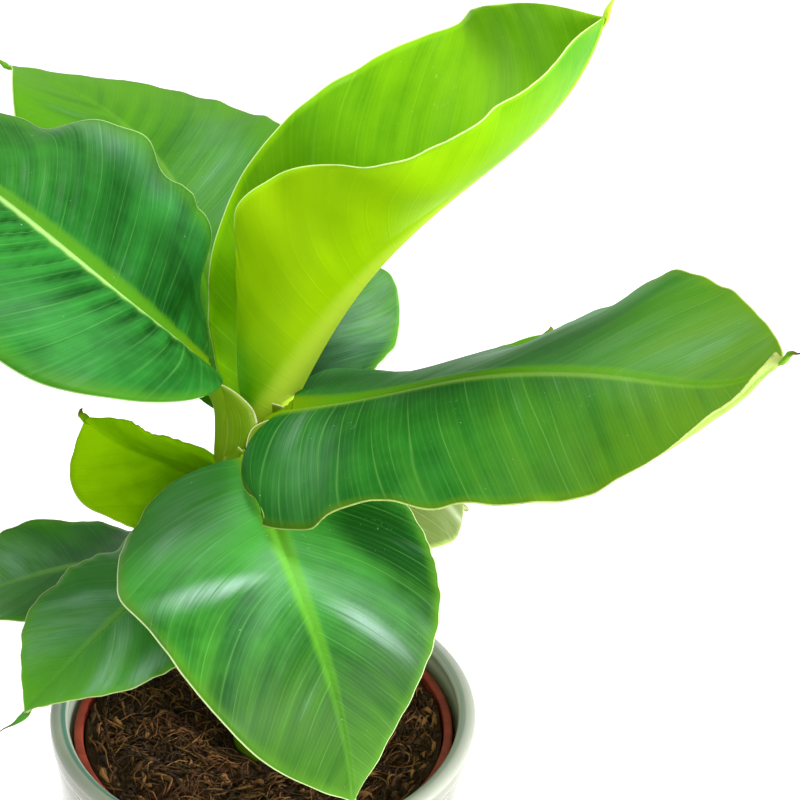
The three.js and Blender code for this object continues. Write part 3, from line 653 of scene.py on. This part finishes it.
def halfBlade(leaf, half, rows, t, rng):  # half is 0 for the right and 1 for the left
    spine = spines[leaf["node"]]
    side = 1 - 2 * half
    x = rows["ribX"][:, None] + (rows["marginX"] - rows["ribX"])[:, None] * t ** 1.6
    y = rows["marginY"][:, None] * t
    u = np.clip(x / leaf["length"], 0, 1)
    fold = np.radians(smoothCurve(leaf["fold"][half], u))
    bend = np.radians(smoothCurve(leaf["curl"][half], u)) / leaf["width"]
    bend = np.where(np.abs(bend) < 1e-5, 1e-5, bend)
    turn = fold + bend * y
    outward = (np.sin(turn) - np.sin(fold)) / bend
    upward = (np.cos(fold) - np.cos(turn)) / bend
    high, count, phase = leaf["wave"][half]
    wave = high * (y / leaf["width"]) ** 2 * (np.sin(2 * math.pi * (count * u + phase))
                                              + 0.35 * np.sin(2 * math.pi * (2.3 * count * u + 1.7 * phase)))
    # pleats and creases follow the side veins
    r = ribRadius(leaf, x)
    vein = veinPlace(leaf, x, y)
    beat = 2 * math.pi * vein
    wobble = 1.2 * ripple(rng, vein / leaf["length"], 3, 2)
    ridge = (np.sin(beat / leafForm["longPleat"] + wobble)
             + 0.6 * np.sin(beat / leafForm["shortPleat"] + 2 * wobble))
    inBlade = easeStep(0, 20, x) * easeStep(leaf["length"], leaf["length"] - 20, x)
    pleat = leaf["pleat"] * ridge * easeStep(r, 4 * r, y) * (1 - 0.4 * t) * inBlade
    crease = (0.5 + 0.5 * np.sin(beat / leafForm["creaseGap"] + 1.6 * wobble)) ** 2
    crease = leaf["creases"] * crease * easeStep(0.9 * r, 3 * r, y) * easeStep(0.66, 0.16, t) * inBlade
    hemFrom, hemHigh = leaf["hem"][half]
    hem = hemHigh * easeStep(hemFrom, hemFrom + 0.2, u) * np.maximum(0, (t - 0.88) / 0.12) ** 1.5
    off = wave + (pleat - crease) + hem + rows["frill"][:, None] * t ** 6
    # the rib is a channel in the upper face and a keel below
    thick = leafMesh(leaf)["thick"] * (1 - 0.5 * t)
    channel = 0.3 * r * np.exp(-(y / (0.6 * r)) ** 2) - 0.1 * r * np.exp(-((y / r - 1.3) / 0.5) ** 2)
    keel = 1.15 * r * np.exp(-(y / (1.5 * r)) ** 2) * easeStep(-stalkRun, 2, rows["ribX"])[:, None]
    tilt = turn * (1 - np.exp(-(y / (0.9 * r)) ** 2))
    at, across, normal = placeAndAxes(spine, x)
    sheets = []
    for lift in (off + thick - channel, off - thick - keel):
        sheets.append(at + across * (side * (outward - lift * np.sin(tilt)))[..., None]
                      + normal * (upward + lift * np.cos(tilt) - rows["sink"][:, None])[..., None])
    return sheets, x, y, vein, crease


def patches(leaf, side, vein, y):  # painted sheen as pale patches, and painted shade as dark patches
    bloom, dark = 0 * y, 0 * y
    for along, out, reach, spread, strength, slant in leaf["bloom"]:
        place = (vein + slant * y * leaf["length"] / leaf["width"]) / leaf["length"]
        off = side * y / leaf["width"] - out
        patch = strength * np.exp(-((place - along) / reach) ** 2 - (off / spread) ** 2)
        bloom, dark = np.maximum(bloom, patch), np.maximum(dark, -patch)
    return bloom, dark


def joinHalves(right, left):
    return np.concatenate([right[:, ::-1], left[:, 1:]], 1)


def buildBlade(shape, leaf):
    rng = np.random.default_rng(leaf["seed"])
    t = (np.linspace(0, 1, leafMesh(leaf)["columns"] + 1) ** 1.6)[None, :]
    halves = []
    for half, side in ((0, 1), (1, -1)):
        rows = veinRows(leaf, half, rng)
        (upper, lower), x, y, vein, crease = halfBlade(leaf, half, rows, t, rng)
        edge = np.where(rows["ribX"][:, None] < 2, 9.0, rows["marginY"][:, None] * (1 - t) + 0 * x)
        bloom, dark = patches(leaf, side, vein, y)
        dark = np.maximum(dark, 0.15 * crease * half)  # painted shade in the creases of the left half
        halves.append((upper, lower, vein, side * t + 0 * x, y, edge, x, np.full_like(x, side), bloom, dark))
    upper, lower, vein, across, ribMm, edge, x, side, bloom, dark = (
        joinHalves(*pair) for pair in zip(*halves))
    rows, wide = vein.shape
    tip = alongSpine(spines[leaf["node"]], "at", np.array(leaf["length"]))
    points = np.concatenate([upper.reshape(-1, 3), lower.reshape(-1, 3), [tip]])
    faces = sheetFaces(rows, wide)
    below, end, last = rows * wide, (rows - 1) * wide, 2 * rows * wide
    for j in range(wide - 1):
        faces.append((j, below + j, below + j + 1, j + 1))
        faces.append((end + j, end + j + 1, last))
        faces.append((below + end + j + 1, below + end + j, last))
    faces.append((end, last, below + end))
    faces.append((end + wide - 1, below + end + wide - 1, last))

    def both(values, final, lower=None):  # the upper face, the lower face and the tip
        lower = values if lower is None else lower
        return np.concatenate([values.reshape(-1), lower.reshape(-1), [final]])

    def fromFoot(pair, power):
        return pair[0] + (pair[1] - pair[0]) * u ** power
    u = np.clip(x / leaf["length"], 0, 1)
    deep = leaf["deep"]
    # painted shade from the dark patches and from the creases is added to the darkening
    deepUpper = np.where(side < 0, fromFoot(leaf.get("deepLeft", deep), 1), fromFoot(deep, 1)) + dark
    deepLower = fromFoot(leaf.get("deepUnder", deep), 2) + dark
    ribLine = np.maximum(0, leaf["ribLine"] * side) * (1 - easeStep(0.3, 0.95, u))
    ribShow = 1 - leaf["ribFade"] * easeStep(0.15, 0.9, u)
    shape.add(points, faces, veinMm=both(vein, leaf["length"]), across=both(across, 0), side=both(side, 0),
              under=both(0 * x, 0.5, 0 * x + 1), edgeMm=both(edge, 0.6), ribMm=both(ribMm, 0),
              ribWide=both(1.1 * ribRadius(leaf, x), 1), ribShow=both(ribShow, 0), ribLine=both(ribLine, 0),
              bloom=both(bloom, 0), deep=both(deepUpper, deep[1], deepLower),
              stalk=both(1 - easeStep(-2, 26, x), 0), outer=both(u * leaf["ripe"], 1),
              dry=both(0.3 * easeStep(0.97, 1, u) * leaf["dryTail"], 0.3 * leaf["dryTail"]))


def buildRib(shape, leaf):  # stalk with its channel, and the curled tail at the tip
    spine = spines[leaf["node"]]
    count, sides = leafMesh(leaf)["ribRings"], leafMesh(leaf)["ribSides"]
    s = np.linspace(-leaf["petiole"] - leaf["root"], leaf["length"] + leaf["tail"][0], count)
    past = alongShare(leaf, s)[1]
    fromTip = s - leaf["length"]
    knuckle = 1.6 * np.exp(-(fromTip / 5) ** 2) * easeStep(-12, 0, fromTip)
    r = (ribRadius(leaf, s) * (1 - 0.5 * easeStep(0, 14, s)) + knuckle)[:, None]
    turn = circle(sides, 0.5)
    c, d = np.cos(turn)[None, :], np.sin(turn)[None, :]
    lips = ((1 - easeStep(-6, 8, s))[:, None] * 0.55 * np.exp(-((np.abs(c) - 0.84) / 0.2) ** 2)
            * np.minimum(1, d / 0.3))
    tail = easeStep(0, 0.2, past)[:, None]
    height = r * np.where(d > 0, lips - 0.02 + 0.8 * tail * d, 0.9 * d) - 0.3 * r
    at, across, normal = placeAndAxes(spine, s[:, None])
    sway = (past * np.sin(7 * past + leaf["seed"]) * 1.1)[:, None, None]
    points = at + across * ((r * c)[..., None] + sway) + normal * height[..., None]

    def ring(values):
        values = np.broadcast_to(values, (count, sides))
        return np.concatenate([values.reshape(-1), values[[0, -1], 0]])
    shape.add(tubePoints(points), tubeFaces(count, sides), veinMm=ring(6 * c), across=ring(s[:, None] / 60),
              side=1.0, under=ring((d < 0) * 1.0), edgeMm=9.0, ribMm=0.9, ribWide=1.0,
              ribShow=ring(1 - 0.5 * past[:, None]), stalk=ring(1 - easeStep(-2, 26, s)[:, None]),
              dry=ring((leaf["dryTail"] * easeStep(0.25, 0.8, past))[:, None]))


spines = {}
for leaf in allLeaves:
    spines[leaf["node"]] = readSpine(leaf)
    shape = ShapeList(*pointLabels)
    buildBlade(shape, leaf)
    buildRib(shape, leaf)
    words = leaf["node"].split("_")
    name = words[0] + "".join(word.capitalize() for word in words[1:]) + "Blade"
    finishPiece(shape.build(name, leafMaterials[leaf["finish"]]), leaf["slot"], leaf["node"])
    print("leaf made:", name, len(shape.faces), "faces")


# pseudostem: a core of rolled sheaths, and the loose outer sheath of every leaf
sheath = {  # millimetres and degrees
    "reach": 62.0, "lowReach": 94.0, "lowLeaf": 126.0,  # how far down it runs: further from the low leaves
    "wide": 112.0, "narrow": 60.0, "thick": 0.8, "layer": 0.28,  # each older sheath lies a layer further out
    "up": -2.0, "youngUp": 12.0, "wing": 60.0,  # it ends here along the stalk, and is no longer than wing
    "cup": 12.0, "open": 98.0, "rings": 64, "columns": 26,
    "finish": dict(
        plainFinish, gloss=0.06, relief=0.12, dark=(72, 112, 0), light=(116, 150, 4), underside=(104, 140, 4),
        vein=(166, 190, 90), midrib=(130, 164, 30), border=(150, 176, 66), edge=(220, 222, 176),
        tip=(140, 110, 60), wax=(200, 212, 160), veinGap=2.6, veinShare=0.2, waxShare=0.1, borderWidth=3.0),
}


def buildCore(shape):
    rings, sides, top = stem["rings"], stem["sides"], stem["top"][2]
    turn = np.arange(sides) * 360.0 / sides
    z = np.linspace(soilTop - 1, top - 1, rings)
    rng = np.random.default_rng(31)
    grooves = 0.16 * ripple(rng, turn / 360, 6, 17)[None, :] * (0.6 + 0.4 * np.sin(z / 23.0)[:, None])
    radius = np.stack([stemRadius(level, turn, allLeaves) for level in z]) + grooves
    radius *= np.where(z > top - 5, 1 - 0.06 * (z - top + 5), 1)[:, None]
    axis = stemAxis(z)
    around = np.radians(turn)[None, :]
    points = roundAxis(axis[:, :1], axis[:, 1:2], radius, around, z[:, None])

    def ring(values):
        values = values + 0 * radius
        return np.concatenate([values.reshape(-1), values[0, :1], values[-1, :1]])
    shape.add(tubePoints(points), tubeFaces(rings, sides), veinMm=ring(radius * around),
              across=ring(z[:, None] / 60), side=1.0, edgeMm=9.0, ribMm=9.0, ribWide=1.0)


def buildSheath(shape, leaf, rank):
    spine = spines[leaf["node"]]
    top = stem["top"][2]
    s = np.linspace(-leaf["petiole"] - leaf["root"], 6, 200)
    at = alongSpine(spine, "at", s)
    away = np.linalg.norm(at[:, :2] - stemAxis(at[:, 2])[:, :2], axis=1)
    gone = (away > stemRadius(at[:, 2], leaf["heading"], []) - 1.5) | (at[:, 2] > top - 1)
    leave = s[np.argmax(gone)] if gone.any() else s[-1]  # where the stalk comes out of the stem
    leaveZ = float(np.interp(leave, s, at[:, 2]))
    low = max(soilTop + 2, leaveZ - sheath["lowReach" if leaf["foot"] < sheath["lowLeaf"] else "reach"])
    joinZ = min(leaveZ - 5, top - 5)
    k = np.linspace(0, 1, sheath["rings"])[:, None]
    v = np.linspace(-1, 1, sheath["columns"])[None, :]
    wide = sheath["narrow"] + (sheath["wide"] - sheath["narrow"]) * (1 - easeStep(0, 0.6, k)) ** 1.3
    z = low + (joinZ - low) * np.clip(k / 0.6, 0, 1)
    turn = leaf["heading"] + v * wide + 10 * (1 - k)
    around = np.radians(turn)
    up = sheath["youngUp" if leaf is youngLeaf else "up"]
    place = leave - 2 + max(6.0, min(sheath["wing"], up - leave)) * np.clip((k[:, 0] - 0.5) / 0.5, 0, 1)
    cup = (sheath["cup"] * easeStep(110, 170, leaf["foot"])
           * np.sin(math.pi * np.clip(1.1 - 1.1 * k, 0, 1)) ** 0.7)
    rib = ribRadius(leaf, place)[:, None]
    gutter = rib - 0.7 + (leaf["rib"] + leafMesh(leaf)["gutter"] - rib) * (1 - easeStep(0.5, 1.0, k)) ** 1.2
    bend = v * np.radians(sheath["open"])
    lift = (0.35 + sheath["layer"] * rank) * easeStep(0, 0.25, k) - 0.5 * (1 - easeStep(0, 0.25, k))
    axis = stemAxis(z[:, 0])
    centre, across, normal = placeAndAxes(spine, place[:, None])
    share = easeStep(0.5, 0.8, k)[..., None]
    shells = []
    for inner in (0.0, 1.0):  # wrapped round the stem below, and cupped under the stalk above
        thin = inner * sheath["thick"] * (1 - 0.6 * np.abs(v) ** 3)
        radius = stemRadius(z + 0 * v, turn, allLeaves) + lift - thin
        arc = roundAxis(axis[:, :1], axis[:, 1:2], radius, around, z)
        drop = ((0.93 * gutter - thin) * np.cos(bend) - 0.93 * (gutter - rib) + 0.3 * rib
                - cup * np.maximum(v, -0.2 * v) ** 1.4)
        stalk = centre - across * ((gutter - thin) * np.sin(bend))[..., None] - normal * drop[..., None]
        shells.append((arc * (1 - share) + stalk * share).reshape(-1, 3))
    rings, columns = sheath["rings"], sheath["columns"]
    faces = sheetFaces(rings, columns)
    below = rings * columns
    for j in range(columns - 1):
        a = (rings - 1) * columns + j
        faces.append((j, below + j, below + j + 1, j + 1))
        faces.append((a, a + 1, below + a + 1, below + a))

    def both(values):
        return np.tile((values + 0 * k + 0 * v).reshape(-1), 2)
    shape.add(np.concatenate(shells), faces, veinMm=both(radius * around), across=both(z / 60), side=rank + 2,
              edgeMm=both((1 - np.abs(v)) * np.radians(wide) * 15.0), ribMm=9, ribWide=1)


shape = ShapeList(*pointLabels)
buildCore(shape)
youngestFirst = sorted(allLeaves, key=lambda leaf: -leaf["foot"])
for rank, leaf in enumerate(youngestFirst):
    buildSheath(shape, leaf, rank)
finishPiece(shape.build("pseudostem", leafMaterial("stemSheaths", sheath["finish"])), "stem", "stem")
print("stem made:", len(shape.faces), "faces")


# pots, in millimetres
def turnedPoints(outline, sides, uneven, seed):  # rings of an outline turned about the upright axis
    rng = np.random.default_rng(seed)
    turn = circle(sides)
    swell = uneven * (np.sin(2 * turn + rng.random()) + 0.6 * np.sin(3 * turn + 2) + 0.3 * np.sin(7 * turn))
    outline = np.asarray(outline, float)
    radius = outline[1:-1, :1] * (1 + swell[None, :] / 100)
    rings = roundAxis(0, 0, radius, turn, outline[1:-1, 1:])
    return np.concatenate([rings.reshape(-1, 3), [[0, 0, outline[0, 1]], [0, 0, outline[-1, 1]]]])


def buildPot(name, node, slot, outline, pot, material):
    shape = ShapeList()
    points = turnedPoints(outline, pot["sides"], pot["uneven"], pot["seed"])
    shape.add(points, tubeFaces(len(outline) - 2, pot["sides"]))
    finishPiece(shape.build(name, material), slot, node)


def arcPoints(centre, radii, start, end, steps):  # part of an ellipse in the outline, angles in degrees
    angles = np.radians(np.linspace(start, end, steps))
    return [(centre[0] + radii[0] * math.cos(a), centre[1] + radii[1] * math.sin(a)) for a in angles]


glazedPot = {
    "baseRadius": 84.0, "wall": 6.0, "lip": 8.4, "thicken": 2.6, "floor": 8.0, "bead": 12.0, "proud": 1.3,
    "sides": 144, "uneven": 0.06, "seed": 41,
    # colours from 0 to 255, and where each starts, is full, fades and ends: in height, or radius
    # inside: painted shade with some soil stain, then the bare glaze
    "body": ((110, 112, 98), (128, 129, 114)), "speck": (120, 118, 100), "lipLight": (180, 184, 172),
    "inside": ((112, 102, 72), (190, 200, 184)), "lipRing": (62, 122, 98), "pool": (112, 120, 98),
    "lipLightZ": (168.0, 171.0), "lipRingRadius": (89.6, 90.2, 91.4, 92.6), "lipRingZ": (167.0, 169.0),
    "poolZ": (156.0, 159.0, 160.2, 162.5), "shadeAndStainZ": (158.0, 169.0), "innerSlope": 0.073, "innerRadius": 78.7,
}
nurseryPot = {
    "lip": 9.0, "lipOut": 2.4, "wall": 1.6, "baseRadius": 66.0, "foot": 8.3, "sides": 120,
    "uneven": 0.0, "seed": 42,
    "body": ((132, 44, 24), (164, 66, 42)), "dust": (70, 46, 26), "dustZ": (143.0, 152.0),
}


def glazedOutline(pot):
    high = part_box("ceramic_pot")[1]
    rim, height = high.x / mm, high.z / mm
    base, wall, floor, underBead = pot["baseRadius"], pot["wall"], pot["floor"], height - pot["bead"]

    def side(z):
        return base + (rim - pot["proud"] - base) * (z - 4) / (underBead - 4)

    def inner(z):
        return side(z) - wall - pot["thicken"] * easeStep(height - 6, height - 20, z) * easeStep(40, 90, z)
    foot = [(0, 0), (base - 12, 0), (base - 4, 0.05), (base - 1.6, 0.5), (base - 0.5, 1.8), (base, 4)]
    outside = [(side(z), z) for z in np.linspace(6, underBead - 3, 30)]
    groove = [(side(underBead - 2) - 0.1, underBead - 2), (side(underBead) - 0.35, underBead - 0.4),
              (side(underBead) + 0.1, underBead + 0.9)]
    bead = arcPoints((rim - 3.0, underBead + 5.5), (3.0, 4.6), -60, 15, 7)
    lip = arcPoints((rim - pot["lip"] / 2, height - 2.8), (pot["lip"] / 2, 2.8), 10, 190, 19)
    inside = [(inner(z), z) for z in np.linspace(height - 6, floor + 8, 60)]
    bottom = [(side(floor) - wall - 3, floor + 2), (side(floor) - wall - 9, floor), (0, floor)]
    return foot + outside + groove + bead + lip + inside + bottom


def nurseryOutline(pot):
    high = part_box("nursery_pot")[1]
    rim, top = high.x / mm, high.z / mm
    foot, base, wall, lip = pot["foot"], pot["baseRadius"], pot["wall"], pot["lip"]
    neck = rim - pot["lipOut"]

    def wallPoints(radius, low, shares):
        return [(radius + (neck - base) * k, low + (top - lip - low) * k) for k in shares]
    outer = wallPoints(base, foot + 2.5, np.linspace(0.01, 1, 12))
    inner = wallPoints(base - wall, foot + 4, np.linspace(1, 0, 12))
    rolled = arcPoints((rim - 0.9, top - 0.9), (0.9, 0.9), 0, 90, 6)
    return ([(0, foot), (base - 4, foot), (base - 1, foot + 0.4), (base, foot + 2)] + outer
            + [(rim - 0.5, top - lip + 0.1), (rim, top - lip + 0.6)] + rolled
            + [(neck - wall + 0.7, top), (neck - wall + 0.1, top - 0.5), (neck - wall, top - 1.4)]
            + inner + [(base - 5, foot + 2), (0, foot + 2)])


def glazeMaterial(pot):
    material, nodes, shader = startMaterial("celadonGlaze", Roughness=0.2, Coat_Weight=0.35,
                                            Coat_Roughness=0.06)
    place = nodes.place()
    parts = nodes.add("ShaderNodeSeparateXYZ", {0: place}).outputs
    x, y, z = parts["X"], parts["Y"], parts["Z"]
    level = nodes.times(z, 1000.0)
    radius = nodes.add("ShaderNodeVectorMath", {0: nodes.spot(x, y)}, operation="LENGTH").outputs["Value"]
    radius = nodes.times(radius, 1000.0)
    mottle = nodes.noise(place, 26.0, 4.0, 0.6)
    runs = nodes.noise(nodes.spot(nodes.times(x, 90.0), nodes.times(y, 90.0), nodes.times(z, 9.0)), 1.0, 3.0)
    speck = nodes.ramp(nodes.noise(place, 620.0, 2.0), 0.68, 0.78)
    tone = nodes.scaleAdd(runs, 0.35, nodes.times(mottle, 0.65))
    body = nodes.blend(nodes.ramp(tone, 0.3, 0.7), tint(*pot["body"][0]), tint(*pot["body"][1]))
    body = nodes.blend(nodes.times(speck, 0.25), body, tint(*pot["speck"]))
    # the inside is darker below the lip on the +X side: painted shade, with a soil stain deeper down
    wallRadius = nodes.scaleAdd(level, pot["innerSlope"], pot["innerRadius"])
    inside = nodes.ramp(nodes.math("SUBTRACT", radius, wallRadius), -0.8, 0.6, 1.0, 0.0)
    litAndClean = nodes.math("MAXIMUM", nodes.ramp(nodes.scaleAdd(mottle, 5.0, level), *pot["shadeAndStainZ"]),
                       nodes.ramp(x, -0.07, 0.0, 1.0, 0.0))
    shadedAndStained, bare = (tint(*colour) for colour in pot["inside"])
    body = nodes.blend(inside, body, nodes.blend(litAndClean, shadedAndStained, bare))
    body = nodes.blend(nodes.times(nodes.ramp(level, *pot["lipLightZ"]), 0.8), body, tint(*pot["lipLight"]))
    # the glaze pools green along the inner edge of the lip and in the groove under the bead
    ring = nodes.times(nodes.band(radius, *pot["lipRingRadius"]), nodes.ramp(level, *pot["lipRingZ"]))
    ring = nodes.times(ring, nodes.ramp(x, -0.05, 0.06, 0.95, 0.4))
    body = nodes.blend(ring, body, tint(*pot["lipRing"]))
    body = nodes.blend(nodes.times(nodes.band(level, *pot["poolZ"]), 0.55), body, tint(*pot["pool"]))
    nodes.link(body, shader.inputs["Base Color"])
    nodes.bump(shader, nodes.scaleAdd(mottle, 0.7, nodes.times(runs, 0.4)), 0.5 * mm, 0.5)
    return material


def nurseryMaterial(pot):
    material, nodes, shader = startMaterial("terracottaPlastic", Specular_IOR_Level=0.35)
    place = nodes.place()
    grain = nodes.noise(place, 900.0, 2.0)
    scuff = nodes.noise(place, 60.0, 4.0, 0.65)
    level = nodes.times(nodes.add("ShaderNodeSeparateXYZ", {0: place}).outputs["Z"], 1000.0)
    body = nodes.blend(nodes.ramp(scuff, 0.35, 0.7), tint(*pot["body"][0]), tint(*pot["body"][1]))
    dust = nodes.times(nodes.ramp(nodes.scaleAdd(scuff, -9.0, level), *pot["dustZ"], 0.8, 0.0), 0.9)
    nodes.link(nodes.blend(dust, body, tint(*pot["dust"])), shader.inputs["Base Color"])
    nodes.link(nodes.scaleAdd(scuff, 0.25, 0.45), shader.inputs["Roughness"])
    nodes.bump(shader, grain, 0.12 * mm)
    return material


buildPot("glazedPot", "ceramic_pot", "glaze", glazedOutline(glazedPot), glazedPot, glazeMaterial(glazedPot))
buildPot("nurseryPot", "nursery_pot", "nursery_plastic", nurseryOutline(nurseryPot), nurseryPot,
         nurseryMaterial(nurseryPot))
print("pots made")


# soil and fibres, in millimetres
soilMix = {
    "edge": 81.6, "rings": 60, "sides": 160, "lumps": 0.924, "raised": 10.4, "seed": 51,
    "colours": ((34, 24, 12), (84, 58, 30), (54, 34, 18)),  # dark, pale and rusty
}
coir = {
    "count": 3000, "stemRoom": 21.0, "rim": 70.0, "rings": 7, "sides": 4, "seed": 52,
    "colours": ((36, 24, 12), (152, 106, 60), (90, 54, 28)),
    "strand": {"length": (8, 30), "width": (0.14, 0.42), "thin": 0.9, "bend": 1.7, "rough": 0.1, "pale": 1.1},
    "flake": {"length": (5, 15), "width": (0.6, 1.6), "thin": 0.25, "bend": 1.2, "rough": 0.35, "pale": 1.1},
    "crumb": {"length": (2, 6), "width": (0.8, 2.4), "thin": 0.7, "bend": 0.5, "rough": 0.35, "pale": 0.5},
}


def soilHeight(x, y):
    lumps = (np.sin(x / 9.1 + 1.3 * np.sin(y / 11.0)) + np.sin(y / 7.3 + 1.7 * np.sin(x / 8.0))
             + 0.6 * np.sin(x / 3.3 + y / 4.1) + 0.5 * np.sin(y / 2.7 - x / 3.9))
    raised = soilMix["raised"] * easeStep(22, 70, np.hypot(x - stem["foot"][0], y - stem["foot"][1]))
    return soilTop - 0.6 + raised + soilMix["lumps"] * lumps


def buildSoil(shape):
    rings, sides, edge = soilMix["rings"], soilMix["sides"], soilMix["edge"]
    turn = circle(sides)
    radius = np.linspace(edge, 1.5, rings)[:, None]
    x, y = radius * np.cos(turn), radius * np.sin(turn)
    rng = np.random.default_rng(soilMix["seed"])
    top = np.stack([x, y, soilHeight(x, y) + rng.normal(0, 0.28, x.shape)], -1)
    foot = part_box("soil")[0].z / mm
    wall = [(edge - 22 * (1 - k), foot + 4 + (soilTop - 5 - foot - 4) * k) for k in (0.0, 0.5, 1.0)]
    skirt = np.stack([roundAxis(0, 0, r + 0 * turn, turn, level) for r, level in [(52.0, foot + 0.3)] + wall])
    points = np.concatenate([skirt, top])
    shape.add(tubePoints(points), tubeFaces(len(points), sides), shade=0.5)


def buildFibres(shape):  # thin coir strands, flat flakes and crumbs, laid at random over the soil
    rng = np.random.default_rng(coir["seed"])
    rings, sides, edge = coir["rings"], coir["sides"], soilMix["edge"]
    faces = tubeFaces(rings, sides)
    axis = stemAxis(np.array(soilTop))[:2]
    k = np.linspace(-0.5, 0.5, rings)
    around = circle(sides, 0.5)
    made = 0
    while made < coir["count"]:
        spread, turn = edge * math.sqrt(rng.random()), rng.uniform(0, 2 * math.pi)
        atRim = spread > coir["rim"]
        pick = rng.uniform(0.4, 1.0) if atRim else rng.random()
        crumb = pick >= 0.78
        kind = coir["crumb" if crumb else "flake" if pick >= 0.55 else "strand"]
        length, width = rng.uniform(*kind["length"]), rng.uniform(*kind["width"])
        bend = kind["bend"] if crumb else rng.uniform(-kind["bend"], kind["bend"])
        lie = turn + math.pi / 2 + rng.normal(0, 0.5) if atRim else rng.uniform(0, 2 * math.pi)
        angle = lie + bend * k + rng.uniform(-0.6, 0.6) * np.sin(5 * k)
        step = np.stack([np.cos(angle), np.sin(angle)], 1) * length / (rings - 1)
        path = np.cumsum(step, 0)
        path += np.array([spread * math.cos(turn), spread * math.sin(turn)]) - path.mean(0)
        if (np.linalg.norm(path, axis=1).max() > edge - 0.8
                or np.linalg.norm(path - axis, axis=1).min() < coir["stemRoom"]):
            continue
        arch = 0 if crumb else rng.uniform(0, 3.2) * (1 - (2 * k) ** 2)
        z = soilHeight(path[:, 0], path[:, 1]) + rng.uniform(0.0, 1.6) + arch + rng.uniform(-2.2, 2.2) * k
        roll = rng.uniform(-1.3, 1.3) + rng.uniform(-1.4, 1.4) * k
        ahead = np.stack([np.cos(angle), np.sin(angle), 0 * angle], 1)
        side = np.stack([-np.sin(angle) * np.cos(roll), np.cos(angle) * np.cos(roll), np.sin(roll)], 1)
        over = np.cross(ahead, side)
        rough = 1 + kind["rough"] * rng.normal(0, 1, (rings, sides))
        ring = (side[:, None] * np.cos(around)[None, :, None]
                + over[:, None] * kind["thin"] * np.sin(around)[None, :, None])
        taper = (1 - 0.8 * np.abs(2 * k) ** 2.5)[:, None] * width * rough
        centre = np.concatenate([path, z[:, None]], 1)[:, None]
        shade = rng.random() ** 2 * kind["pale"]
        rng.random()  # one draw is passed over between pieces
        shape.add(tubePoints(centre + ring * taper[..., None]), faces, shade=shade)
        made += 1


def soilMaterial(name, colours):
    dark, pale, rusty = (tint(*colour) for colour in colours)
    material, nodes, shader = startMaterial(name, Specular_IOR_Level=0.25)
    place = nodes.place()
    crumbs = nodes.noise(place, 420.0, 4.0, 0.7)
    patches = nodes.noise(place, 60.0, 2.0)
    tone = nodes.scaleAdd(nodes.stored("shade"), 0.6, nodes.times(crumbs, 0.5))
    body = nodes.blend(nodes.ramp(tone, 0.2, 0.95), dark, pale)
    body = nodes.blend(nodes.ramp(patches, 0.5, 0.7, 0.0, 0.7), body, rusty)
    nodes.link(body, shader.inputs["Base Color"])
    nodes.link(nodes.scaleAdd(crumbs, 0.2, 0.75), shader.inputs["Roughness"])
    nodes.bump(shader, crumbs, 0.8 * mm)
    return material


shape = ShapeList("shade")
buildSoil(shape)
finishPiece(shape.build("pottingSoil", soilMaterial("darkPeat", soilMix["colours"])), "soil", "soil")
shape = ShapeList("shade")
buildFibres(shape)
finishPiece(shape.build("coirFibres", soilMaterial("coirFibre", coir["colours"])), "soil")
print("soil and fibres made:", len(shape.faces), "faces")


# floor
def addFloor():
    half = 4.0
    mesh = bpy.data.meshes.new("paleFloor")
    corners = [(-half, -half, 0), (half, -half, 0), (half, half, 0), (-half, half, 0)]
    mesh.from_pydata(corners, [], [(0, 1, 2, 3)])
    material, nodes, shader = startMaterial("paleFloor", Roughness=0.7, Emission_Strength=0.35)
    shader.inputs["Emission Color"].default_value = (1.0, 1.0, 1.0, 1.0)
    cloudy = nodes.noise(nodes.place(), 3.0)
    nodes.link(nodes.blend(cloudy, tint(250, 250, 249), tint(254, 254, 253)), shader.inputs["Base Color"])
    mesh.materials.append(material)
    floor = bpy.data.objects.new("paleFloor", mesh)
    scene.collection.objects.link(floor)


addFloor()
